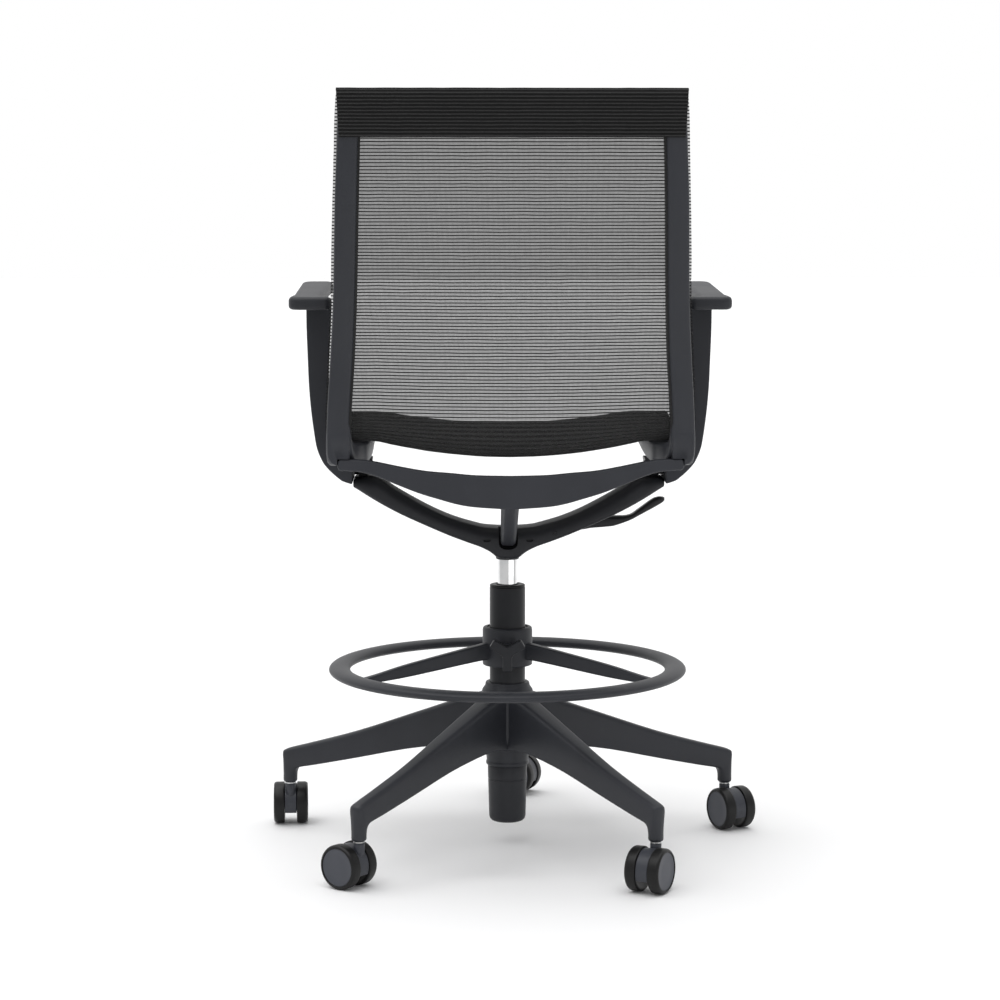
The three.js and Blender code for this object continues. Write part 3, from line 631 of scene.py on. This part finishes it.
# ---------- casters ----------
def caster(index):
    turn = math.radians(90.0 + 72.0 * index + BASE_TURN)
    stand = Matrix.Translation((BASE_RADIUS * math.cos(turn), BASE_RADIUS * math.sin(turn), 0))
    place = stand @ turn_z(CASTER_HEADINGS[index])
    name = f"caster_{index + 1}"
    start = math.degrees(math.asin((WEB_BOTTOM - WHEEL_RADIUS) / WEB_RADIUS))
    rim = arc_rows((TRAIL, WHEEL_RADIUS), WEB_RADIUS, start, 180.0 - start, 56)
    web = round_edges(plate("web", rim, -WEB_HALF, WEB_HALF, web_plastic, place, sharp=38.0), 1.1, 3)
    boss = turned("stem_boss", [(0, 44), (6.4, 44), (7.4, 46), (7.6, 60.8), (7.2, 61.7), (6, 62), (5.9, 61),
                                (5.9, 46), (0, 46)], web_plastic, 48, place)
    body = joined(f"{name}_web", [web, boss])
    stand_for(body, name, [f"{name}_body"])
    pin = turned(f"{name}_steel_stem", [
        (0, 46.4), (5.4, 46.4), (5.4, 62.2), (7.2, 62.2), (7.6, 62.6), (7.6, 64.2), (7.2, 64.6), (5.4, 64.7),
        (5.4, 99), (4.6, 100), (0, 100),
    ], steel, 32, place)
    stand_for(pin, name, [f"{name}_stem"])
    inner = WEB_HALF + 0.4
    outer = inner + WHEEL_WIDTH
    tyre_profile = [
        (3.4, inner + 0.6), (24, inner + 0.6), (25, inner), (28.4, inner), (29.4, inner + 0.3),
        (29.9, inner + 1.0), (30, inner + 2), (30, outer - 4.2), (29.7, outer - 2.8), (28.9, outer - 1.3),
        (27.9, outer - 0.3), (27, outer), (25.8, outer), (25.4, outer - 0.4), (25.3, outer - 2.2),
        (3.4, outer - 2.4), (3.4, inner + 0.6),
    ]
    cap_profile = [
        (0, outer - 2.3), (25.1, outer - 2.3), (25.1, outer - 1.1), (24.7, outer - 0.8), (24, outer - 0.75),
        (22.2, outer - 1.15), (12, outer - 1.0), (0, outer - 0.9),
    ]
    for hand, side in (("left", 1), ("right", -1)):
        lie = place @ Matrix.Translation((TRAIL, 0, WHEEL_RADIUS)) @ Matrix.Rotation(
            -side * math.pi / 2, 4, "X")
        tyre = turned("tyre", tyre_profile, tread, 72, lie)
        cap = turned("cap", cap_profile, cap_plastic, 72, lie, sharp=25)
        wheel = joined(f"{name}_wheel_{hand}_twin", [tyre, cap])
        stand_for(wheel, f"{name}_wheel_{hand}", [f"{name}_wheel_{hand}"])


# ---------- yoke ----------
YOKE_LOWER = [
    (0, 411), (13.2, 411.6), (24.9, 420.2), (39, 427.4), (56.5, 434), (82.8, 445), (117.4, 461.6),
    (151.9, 479), (186.7, 498.8), (212.8, 515.8),
]
YOKE_UPPER = [
    (212.8, 525), (207, 528.3), (182, 528.3), (171, 522), (157.3, 511.7), (128.3, 493.9),
    (102.1, 479), (75.3, 466.6), (48.3, 457.8), (30.7, 453.8), (0, 452),
]


def swept_back(x):
    t = min(1.0, max(0.0, (abs(x) - 30.0) / 150.0))
    return -40.0 * t * t * (3.0 - 2.0 * t)


def both_sides(half):
    """A closed loop from the half on +X, which starts and ends in the middle."""
    return half + [(-x, z) for x, z in reversed(half[1:-1])]


def height_at(rows, x):
    """The height of a line of (x, z) rows at one place."""
    for (xa, za), (xb, zb) in zip(rows, rows[1:]):
        if xa <= x <= xb:
            return za + (zb - za) * (x - xa) / max(xb - xa, 1e-6)
    return rows[-1][1]


LUG_SIDES = (194, 206)
LEVER_PIN_X, LEVER_PIN_Z = 64.3, 447.5
LEVER_PIN_HOLE = 2.6


def yoke():
    lower = smooth_rows(YOKE_LOWER, 5)
    upper = sorted(YOKE_UPPER[:3] + smooth_rows(YOKE_UPPER[2:], 5)[1:])
    places = [4.25 * k for k in range(50)] + [211.8, 212.4, 212.8]
    sections = []
    for x in [-x for x in reversed(places[1:])] + places:
        end = max(0.0, abs(x) - 211.8)
        inset = 1.2 * (1 - math.sqrt(max(0.0, 1 - end * end)))
        low, high = height_at(lower, abs(x)) + inset, height_at(upper, abs(x)) - inset
        tall = high - low
        loop = rounded_section(37 - inset, low, high, min(7.0, tall * 0.35), min(15.0, tall * 0.55), 7)
        sections.append([(x, -15 + swept_back(x) + u, v) for u, v in loop])
    body = loft("yoke_blank", sections, dark_nylon)
    notch = plate("notch", [
        (-13.2, 480), (-13.2, 433), (-12.4, 429.6), (-10, 426.6), (-6, 424.6), (0, 424), (6, 424.6),
        (10, 426.6), (12.4, 429.6), (13.2, 433), (13.2, 480),
    ], -60, -16.5, dark_nylon)
    slot = loft("slot", [
        [(-8, -4, 432.7), (-8, 15, 432.7), (-8, 15, 447.5), (-8, -4, 447.5)],
        [(30, -1, 433), (30, 15, 433), (30, 15, 449), (30, -1, 449)],
        [(140, -1, 436), (140, 15, 436), (140, 15, 474), (140, -1, 474)],
    ], dark_nylon)
    pin_hole = rod("pin_hole", (LEVER_PIN_X, -90, LEVER_PIN_Z), (LEVER_PIN_X, 40, LEVER_PIN_Z),
                   LEVER_PIN_HOLE, dark_nylon)
    socket = rod("socket", (0, 0, 395), (0, 0, 447), 14.3, dark_nylon, 64)
    dimples = []
    for x in (-29.5, 29.5):
        loop = [(x + 5.5 * math.cos(t), 437 + 2.2 * math.sin(t))
                for t in (2 * math.pi * k / 24 for k in range(24))]
        dimples.append(plate("dimple", loop, -60, -47, dark_nylon))
    cut_out(body, [notch, slot, pin_hole, socket] + dimples)
    boss = turned("boss", [
        (14.4, 405), (14.9, 405), (16, 405.6), (16.5, 407), (16.5, 412), (17.5, 416), (20, 419), (20, 440),
        (14.4, 440), (14.4, 405),
    ], dark_nylon, 72)
    shells = [body, boss]
    for side in (-1, 1):
        loop = arc_rows((PIVOT_Y, PIVOT_Z), 9.5, 0, 180, 24) + [(PIVOT_Y - 9.5, 520), (PIVOT_Y + 9.5, 520)]
        first, last = [[(side * x, y, z) for y, z in loop] for x in LUG_SIDES]
        lug = prism("lug", first, last, dark_nylon)
        hole = rod("lug_hole", (side * 190, PIVOT_Y, PIVOT_Z), (side * 210, PIVOT_Y, PIVOT_Z), 7, dark_nylon)
        shells.append(cut_out(lug, [hole]))
    whole = joined("yoke_casting", shells)
    whole.data.shade_smooth()
    whole.data.set_sharp_from_angle(angle=math.radians(32))
    stand_for(whole, "lift", ["yoke"])


# Distance out, rear and front edges, bottom and top.
LEVER_ROWS = [
    (-6, -3.5, 12, 437.3, 443.5), (20, 2, 12, 437.6, 446.5), (64, 2, 12, 441, 453),
    (104, 2.2, 12, 445.2, 458.8), (118, 6.8, 19, 446.9, 461.6), (138, 6.8, 25.6, 448.5, 463.7),
    (152, 6.8, 27.6, 450.4, 463.9), (172, 6.8, 28.3, 457.6, 465), (186, 6.8, 28.2, 464.7, 474.2),
    (202.7, 7.6, 27.6, 473.5, 486.4), (212, 8.6, 26.4, 478.6, 490.4), (218.5, 10.6, 24.4, 482.4, 490.7),
    (221.8, 14, 21, 485.2, 489.6),
]


def lift_lever():
    sections = []
    for x, rear, front, low, high in smooth_rows(LEVER_ROWS, 4):
        half, soft = (front - rear) / 2, min((high - low) * 0.42, (front - rear) * 0.4, 4.6)
        loop = rounded_section(half, low, high, soft, soft)
        sections.append([(x, (rear + front) / 2 + u, v) for u, v in loop])
    lever = loft("lift_lever_paddle", sections, lever_nylon)
    hole = rod("lever_hole", (LEVER_PIN_X, -10, LEVER_PIN_Z), (LEVER_PIN_X, 30, LEVER_PIN_Z),
               LEVER_PIN_HOLE, lever_nylon)
    cut_out(lever, [hole])
    stand_for(lever, "lever", ["lift_lever"])


# ---------- sling frame ----------
def across_line(rows, i):
    """The direction square to a line of (Y, Z, ...) rows at one of them."""
    before, after = rows[max(i - 1, 0)], rows[min(i + 1, len(rows) - 1)]
    along = Vector((0, after[0] - before[0], after[1] - before[1])).normalized()
    return Vector((0, -along.z, along.y))


# Y, Z, inner X, outer X, thickness across the line.
FRAME_ROWS = [
    (-280, 1038, 191.5, 221.5, 13), (-275.5, 1000, 193.5, 223.5, 16), (-272, 967, 195, 225, 17),
    (-265, 900, 197, 228, 17.5), (-234.5, 778, 201, 232, 18.5), (-215, 700, 205, 237, 19),
    (-207.5, 643, 209, 241, 20), (-202, 605, 211, 243, 22), (-197, 583, 210, 244, 26),
    (-183, 569.5, 204, 243, 30), (-160, 567.5, 196, 238, 30), (-140, 568.5, 190, 236, 29),
    (-60, 570, 187, 236, 28), (60, 575, 187, 236.6, 24), (180, 584, 187, 237.4, 22),
    (236, 583, 187, 236.4, 19), (256, 574, 188, 234.6, 16), (264, 563, 190, 232, 14),
]


# A black strip fills a recess on the upright's inner side, and runs on a little past its end. It is painted
# shade: it stands in for the shade along the upright's inner edge.
SHADE_STRIP_RECESS, SHADE_STRIP_WIDTH = 2.6, 4
RECESSED_ROWS, SHADE_STRIP_ROWS = 28, 30


def side_frame(side, hand):
    rows = smooth_rows(FRAME_ROWS, 4)
    sections = []
    for i, (y, z, inner, outer, thick) in enumerate(rows):
        across = across_line(rows, i)
        inner += SHADE_STRIP_RECESS if i < RECESSED_ROWS else 0
        middle = Vector((side * (inner + outer) / 2, y, z))
        soft = min(4.2, thick * 0.3)
        loop = rounded_section((outer - inner) / 2, -thick / 2, thick / 2, soft, soft)
        sections.append([middle + across * v + Vector((side * u, 0, 0)) for u, v in loop])
    rail = loft("rail", sections, frame_nylon)
    heel_loop = smooth_rows([(230, 555.8), (236, 558.4), (240, 563.5), (242, 571), (242.6, 600)], 4)
    heel_loop = [(side * x, z) for x, z in [(212.8, 600), (212.8, 555.8)] + heel_loop]
    heel = settled(round_edges(plate("heel", heel_loop, -212.6, -188, frame_nylon), 2.2, 4))
    x0, x1 = sorted((side * 150, side * 229.5))
    for shell in (rail, heel):
        cut_out(shell, [block("tenon", x0, x1, -230, -195.6, 540, 564.4, frame_nylon)])
    strips = []
    # Painted shade: a black strip down the upright's inner edge, where that edge lies in shade.
    for y, z, inner, _, thick in rows[:SHADE_STRIP_ROWS]:
        x0, x1 = side * inner, side * (inner + SHADE_STRIP_WIDTH)
        strips.append([(x0, y - thick / 2 + 3, z), (x1, y - thick / 2 + 3, z),
                       (x1, y + thick / 2 - 2, z), (x0, y + thick / 2 - 2, z)])
    painted_shade_strip = loft("painted_shade_strip", strips, rubber)
    rail = joined(f"side_frame_{hand}_moulding", [rail, heel, painted_shade_strip])
    stand_for(rail, "sling", [f"side_frame_{hand}"])


CROSS_LOWER = [
    (0, 497), (46, 500), (71, 504), (96, 511), (122, 519), (150, 530), (177, 541), (198, 547), (222, 549),
]
CROSS_UPPER = [
    (222, 564), (200, 563.4), (181, 561), (147, 554), (113, 548), (79, 545), (46, 542), (0, 541),
]


def crossbar():
    end = arc_rows((224, 554), 5, -90, 0, 6) + arc_rows((224, 559), 5, 0, 90, 6)
    half = smooth_rows(CROSS_LOWER, 5) + end + smooth_rows(CROSS_UPPER, 5)
    bar = plate("crossbar_crescent", both_sides(half), -212, -196, frame_nylon)
    round_edges(bar, 2.6, 3, 50)
    stand_for(settled(bar), "sling", ["crossbar"])


SPINE_ROWS = [
    (-195.6, 518, 12.5, 12), (-176, 508, 12.3, 11.5), (-150, 494, 12, 11), (-110, 471, 11.5, 10),
    (-78, 452.5, 11, 9.5), (-54, 440.5, 10.6, 9), (-46, 437, 9.8, 8.2), (-41, 435.4, 8, 6.4),
    (-38, 434.6, 5.5, 4),
]


def spine():
    rows = smooth_rows(SPINE_ROWS, 4)
    sections = []
    for i, (y, z, half, thick) in enumerate(rows):
        across = Vector((0, 0, 1)) if i == 0 else across_line(rows, i)
        loop = rounded_section(half, -thick, thick, thick * 0.55, thick * 0.55)
        sections.append([Vector((u, y, z)) + across * v for u, v in loop])
    stand_for(loft("spine_strut", sections, frame_nylon), "sling", ["spine"])


def rails():
    loop = [(-190.8, 1012), (-160, 1012), (-142, 990), (142, 990), (160, 1012), (190.8, 1012),
            (190.8, 1036), (-190.8, 1036)]
    rail = plate("top_rail_blade", [(x, z - 1036) for x, z in loop], -6, 6, dark_nylon)
    lean = (Matrix.Translation(COLUMN) @ Matrix.Translation((0, -0.2795, 1.036))
            @ Matrix.Rotation(math.radians(5), 4, "X") @ Matrix.Translation(-COLUMN))
    rail.data.transform(lean)
    round_edges(rail, 2.4, 3, 40)
    stand_for(settled(rail), "sling", ["top_rail"])
    path = smooth_rows([(-186.6, 243, 575), (-150, 243, 566), (-90, 242, 557), (0, 241, 553),
                        (90, 242, 557), (150, 243, 566), (186.6, 243, 575)], 6)
    ring = [2 * math.pi * k / 20 for k in range(20)]
    side, radius = Vector((0, 1, 0)), 8
    sections = []
    for i, point in enumerate(path):
        before, after = Vector(path[max(i - 1, 0)]), Vector(path[min(i + 1, len(path) - 1)])
        up = (after - before).normalized().cross(side).normalized()
        sections.append([Vector(point) + side * radius * math.cos(t) + up * radius * math.sin(t)
                         for t in ring])
    front = loft("front_rail_bow", sections, dark_nylon)
    stand_for(front, "sling", ["front_rail"])


# ---------- arms ----------
ARM_OUTER = [
    (274, 775), (274, 737), (272.4, 687), (271, 652), (268, 617), (263.4, 582.5), (260, 567),
    (254, 553), (249, 545.5), (241, 537), (233, 530), (226, 525), (213.5, 521),
]
ARM_INNER = [
    (213.5, 553.2), (236.4, 553.2), (236.8, 562), (241.4, 585), (243.4, 617), (244, 652),
    (243.4, 687), (240.8, 737), (239.4, 775),
]
ARM_REAR, ARM_FRONT, ARM_MIDDLE = -110, -4, 255
# The inner side moves outwards by this much, in metres, at the front edge.
ARM_TAPER = 0.007
PAD_PITCH = math.radians(3.4)
PAD_CENTRE = (264.5, -65.0, 776.7)


def pad_underside(y):
    return PAD_CENTRE[2] + (y - PAD_CENTRE[1]) * math.tan(PAD_PITCH) - 8.8 / math.cos(PAD_PITCH)


def arm(side, hand):
    loop = smooth_rows(ARM_OUTER, 4) + ARM_INNER[:3] + smooth_rows(ARM_INNER[2:], 4)[1:]
    blade = plate("blade", [(side * x, z) for x, z in loop], ARM_REAR, ARM_FRONT, frame_nylon)
    round_edges(blade, 6, 5, 50)
    settled(blade)
    for vertex in blade.data.vertices:
        x, y, z = (vertex.co - COLUMN) * 1000
        forward = min(1.0, max(0.0, (y - ARM_REAR) / (ARM_FRONT - ARM_REAR)))
        high = min(1.0, max(0.0, (z - 570) / 30))
        if abs(x) < ARM_MIDDLE:
            vertex.co.x += side * ARM_TAPER * forward * high * high * (3 - 2 * high)
        vertex.co.z = min(vertex.co.z, pad_underside(y) * 0.001)
    blade.name = f"arm_{hand}_blade"
    stand_for(blade, "sling", [f"arm_{hand}"])
    pad(side, hand)


def drawn_in(loop, distance):
    """A closed counter-clockwise loop, moved inwards all round."""
    rows = []
    for before, (x, y), after in zip(loop[-1:] + loop[:-1], loop, loop[1:] + loop[:1]):
        dx, dy = after[0] - before[0], after[1] - before[1]
        size = math.hypot(dx, dy)
        rows.append((x - dy / size * distance, y + dx / size * distance))
    return rows


def pad(side, hand):
    # Widest at the rear end. Ahead of that the inner side steps outwards, then comes back a little.
    loop = arc_rows((15.5, -122), 13, -90, 0, 8)
    loop += smooth_rows([(28.3, -112), (27.5, -104), (26, -95), (24.8, -86), (24.2, -76)], 3)
    loop += arc_rows((7.2, 118), 17, 0, 90, 8) + arc_rows((-8.5, 124), 11, 90, 180, 8)
    loop += smooth_rows([(-12.5, -96), (-13, -102), (-15, -107.5), (-19, -112), (-24, -115.5)], 3)
    loop += arc_rows((-19.5, -126), 9, 180, 270, 8)
    if side < 0:
        loop = [(-x, y) for x, y in reversed(loop)]
    # Height and inset of each layer, from the underside up over the soft edge.
    layers = [(-8.5, 4.0), (-7.4, 1.6), (-5.2, 0.2), (-3.0, 0.0), (2.6, 0.0), (5.0, 0.5), (6.9, 1.7),
              (8.0, 3.8), (8.4, 5.6), (8.5, 7.4)]
    sections = [[(x, y, height) for x, y in drawn_in(loop, inset)] for height, inset in layers]
    place = Matrix.Translation((side * PAD_CENTRE[0], PAD_CENTRE[1], PAD_CENTRE[2])) @ Matrix.Rotation(
        PAD_PITCH, 4, "X")
    cushion = loft(f"arm_pad_{hand}_skin", sections, pad_skin, place, sharp=60)
    stand_for(cushion, "sling", [f"arm_pad_{hand}"])


# ---------- mesh sling ----------
# Y, Z, half width and sag, from the rear hem over the head, down the back and along the seat.
SLING_ROWS = [
    (-283.9, 983, 221.5, 0), (-287.3, 1012, 223, 0), (-289.4, 1034, 224, 0), (-288.2, 1041, 224.5, 0),
    (-284, 1044.4, 225, 0), (-277, 1044.8, 224, 0), (-271.6, 1041, 224.2, 0), (-269.6, 1034, 226, 0),
    (-266.4, 1000, 228, 0), (-261.8, 967, 229, 0), (-254, 900, 231.5, 0), (-238.6, 839, 234, 1),
    (-223.2, 778, 236, 3), (-203.8, 700, 241, 7), (-196.6, 660, 243.5, 11), (-194.5, 645, 244, 12.5),
    (-189.2, 612, 245.5, 17), (-182.2, 596.5, 244.5, 20), (-170, 587.6, 242, 22),
    (-150, 585.2, 237, 22.5), (-130, 585.2, 236.4, 22.5), (-60, 586, 236.4, 22), (0, 587.4, 237, 21),
    (60, 589.2, 237.6, 20), (120, 592.4, 238.4, 19), (180, 597, 239, 17.5), (212, 597.4, 239, 17),
    (240, 594.6, 238.4, 16.5), (256, 587.6, 237.4, 16), (268, 577, 236, 15), (275.4, 564, 234.8, 14),
]


# The fabric sags between the rails, this far either side of the middle.
SAG_HALF = 181.0
RIB_STEP = 4.5


class Sling:
    """The fabric's middle surface, measured along its length in millimetres."""

    def __init__(self, rows):
        self.rows = rows
        self.reach = [0.0]
        for a, b in zip(rows, rows[1:]):
            self.reach.append(self.reach[-1] + math.hypot(b[0] - a[0], b[1] - a[1]))
        self.length = self.reach[-1]

    def row(self, s):
        s = min(max(s, 0.0), self.length)
        i = max(k for k in range(len(self.reach) - 1) if self.reach[k] <= s)
        t = (s - self.reach[i]) / (self.reach[i + 1] - self.reach[i])
        return [a + (b - a) * t for a, b in zip(self.rows[i], self.rows[i + 1])]

    def point(self, s, across):
        y, z, half, sag = self.row(s)
        ahead, behind = self.row(s + 6), self.row(s - 6)
        dy, dz = ahead[0] - behind[0], ahead[1] - behind[1]
        x = across * half
        drop = sag * (1 - min(1.0, abs(x) / SAG_HALF) ** 2)
        scale = drop / math.hypot(dy, dz)
        return (x, y + dz * scale, z - dy * scale)


def rib_tree():
    """Turns lines into soft, slightly uneven ribs."""
    tree = bpy.data.node_groups.new("knitted_ribs", "GeometryNodeTree")
    face = tree.interface
    face.new_socket("Lines", in_out="INPUT", socket_type="NodeSocketGeometry")
    for name, value in (("Rib radius", 0.001), ("Unevenness", 0.0003), ("Uneven scale", 60.0)):
        socket = face.new_socket(name, in_out="INPUT", socket_type="NodeSocketFloat")
        socket.default_value = value
    face.new_socket("Yarn", in_out="INPUT", socket_type="NodeSocketMaterial")
    face.new_socket("Ribs", in_out="OUTPUT", socket_type="NodeSocketGeometry")
    add, link = tree.nodes.new, tree.links.new
    given, result = add("NodeGroupInput"), add("NodeGroupOutput")
    noise = add("ShaderNodeTexNoise")
    noise.inputs["Detail"].default_value = 1.0
    centred = add("ShaderNodeVectorMath")
    centred.operation = "SUBTRACT"
    centred.inputs[1].default_value = (0.5, 0.5, 0.5)
    scaled = add("ShaderNodeVectorMath")
    scaled.operation = "SCALE"
    moved = add("GeometryNodeSetPosition")
    curves = add("GeometryNodeMeshToCurve")
    profile = add("GeometryNodeCurvePrimitiveCircle")
    profile.inputs["Resolution"].default_value = 6
    tubes = add("GeometryNodeCurveToMesh")
    tubes.inputs["Fill Caps"].default_value = True
    real = add("GeometryNodeRealizeInstances")
    dyed = add("GeometryNodeSetMaterial")
    link(given.outputs["Uneven scale"], noise.inputs["Scale"])
    link(noise.outputs["Color"], centred.inputs[0])
    link(centred.outputs[0], scaled.inputs[0])
    link(given.outputs["Unevenness"], scaled.inputs["Scale"])
    link(given.outputs["Lines"], moved.inputs["Geometry"])
    link(scaled.outputs[0], moved.inputs["Offset"])
    link(moved.outputs[0], curves.inputs["Mesh"])
    link(given.outputs["Rib radius"], profile.inputs["Radius"])
    link(curves.outputs[0], tubes.inputs["Curve"])
    link(profile.outputs[0], tubes.inputs["Profile Curve"])
    link(tubes.outputs[0], real.inputs[0])
    link(real.outputs[0], dyed.inputs["Geometry"])
    link(given.outputs["Yarn"], dyed.inputs["Material"])
    link(dyed.outputs[0], result.inputs[0])
    return tree


def grow(piece, tree, values):
    """Runs a geometry tree on a piece with its named inputs and keeps the plain mesh."""
    modifier = piece.modifiers.new(tree.name, "NODES")
    modifier.node_group = tree
    for item in tree.interface.items_tree:
        if item.item_type == "SOCKET" and item.in_out == "INPUT" and item.name in values:
            modifier[item.identifier] = values[item.name]
    return settled(piece)


def mesh_sling():
    sling = Sling(smooth_rows(SLING_ROWS, 3))
    columns = [-1.0 + 2.0 * k / 28 for k in range(29)]
    rows = round(sling.length / RIB_STEP)
    points = [sling.point(sling.length * j / rows, u) for j in range(rows + 1) for u in columns]
    wide = len(columns)
    faces = [(j * wide + i, (j + 1) * wide + i, (j + 1) * wide + i + 1, j * wide + i + 1)
             for j in range(rows) for i in range(wide - 1)]
    mesh = bpy.data.meshes.new("sling_net")
    mesh.from_pydata([to_metres(p) for p in points], [], faces)
    cloth = mesh.uv_layers.new(name="cloth")
    for loop in mesh.loops:
        j, i = divmod(loop.vertex_index, wide)
        cloth.data[loop.index].uv = (columns[i] * CLOTH_HALF, sling.length * j / rows * 0.001)
    mesh.shade_smooth()
    mesh.materials.append(net)
    sheet = bpy.data.objects.new("sling_net", mesh)
    bpy.context.scene.collection.objects.link(sheet)

    places = [-1.0 + 2.0 * k / 30 for k in range(31)]
    count = int(sling.length / RIB_STEP)
    points, edges = [], []
    for j in range(count):
        s = RIB_STEP * (j + 0.5)
        first = len(points)
        points += [sling.point(s, u) for u in places]
        edges += [(first + i, first + i + 1) for i in range(len(places) - 1)]
    lines = bpy.data.meshes.new("sling_ribs")
    lines.from_pydata([to_metres(p) for p in points], edges, [])
    ribs = bpy.data.objects.new("sling_ribs", lines)
    bpy.context.scene.collection.objects.link(ribs)
    grow(ribs, rib_tree(), {"Rib radius": 0.00104, "Unevenness": 0.0009, "Uneven scale": 55.0,
                            "Yarn": rib_yarn})
    ribs.data.shade_smooth()
    stand_for(sheet, "sling", ["back_mesh", "seat_mesh"])
    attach(ribs, "sling")


# ---------- carried-over nodes ----------
def finish_nodes():
    """The small hidden pieces keep their solids and get a real finish."""
    finishes = {"steel": steel, "painted_steel": bracket_paint, "black_rubber": rubber,
                "dark_nylon": dark_nylon, "nylon": nylon, "chrome": chrome, "tread": tread,
                "cap_grey": web_plastic, "mesh_fabric": rib_yarn}
    slots = {s["node"]: s["material_slot"] for s in frame["record"]["subparts"]}
    for name, node in frame["nodes"].items():
        node.data.materials.clear()
        node.data.materials.append(bracket_paint if name == "lever_pin" else finishes[slots[name]])


# ---------- studio ----------
def studio():
    f = Finish("studio_floor")
    cloud = f.noise(0.8, 2.0, 0.5)
    place = f.add("ShaderNodeSeparateXYZ", None, {"Vector": f.place()}, out="X")
    along = Wire(f, place.socket.node.outputs["Y"])
    # Painted shade: the floor is painted darker in front of the chair and far out to the sides, a dim area
    # that the chrome reflects.
    painted_dim_floor = (along + 1.6 - place.size() * 0.9).between(-1.2, 0.3)
    colour = f.blend(cloud, (0.86, 0.86, 0.86, 1.0), (0.88, 0.88, 0.88, 1.0))
    colour = f.blend(painted_dim_floor, (0.48, 0.48, 0.48, 1.0), colour)
    material = f.surface(Base_Color=colour, Roughness=0.62, IOR=1.25)
    mesh = bpy.data.meshes.new("floor")
    mesh.from_pydata([(-30, -12, 0), (30, -12, 0), (30, 40, 0), (-30, 40, 0)], [], [(0, 1, 2, 3)])
    mesh.materials.append(material)
    floor = bpy.data.objects.new("floor", mesh)
    bpy.context.scene.collection.objects.link(floor)
    world = bpy.data.worlds.new("studio")
    bpy.context.scene.world = world
    f = Finish("studio", world)
    direction = f.add("ShaderNodeTexCoord", out="Generated")
    towards_back = f.add("ShaderNodeSeparateXYZ", None, {"Vector": direction}, out="Y")
    light = f.blend(towards_back.between(-0.35, 0.45), (0.58, 0.58, 0.59, 1.0), (1.0, 1.0, 1.0, 1.0))
    f.output(f.add("ShaderNodeBackground", None, {"Color": light}), "ShaderNodeOutputWorld")
    lamps = (
        ("low_strip", "AREA", (1.77, -1.9, 0.18), 4.2),
        ("ceiling", "SUN", (-0.7, -0.5, 4.0), 2.0),
    )
    for name, kind, place, power in lamps:
        light = bpy.data.lights.new(name, kind)
        if kind == "AREA":
            light.shape, light.size, light.size_y = "RECTANGLE", 2.9, 0.34
        else:
            light.angle = math.radians(70)
        light.energy = power
        lamp = bpy.data.objects.new(name, light)
        lamp.location = place
        lamp.visible_camera = False
        aim = Vector((0, 0, 0.5)) - Vector(place)
        lamp.rotation_euler = aim.to_track_quat("-Z", "Y").to_euler()
        bpy.context.scene.collection.objects.link(lamp)
    bpy.context.scene.view_settings.view_transform = "Standard"


finish_nodes()
star_base()
column()
foot_ring()
ring_knob()
for number in range(LEGS):
    caster(number)
yoke()
lift_lever()
for hand_side, hand_name in ((-1, "left"), (1, "right")):
    side_frame(hand_side, hand_name)
    arm(hand_side, hand_name)
crossbar()
spine()
rails()
mesh_sling()
studio()
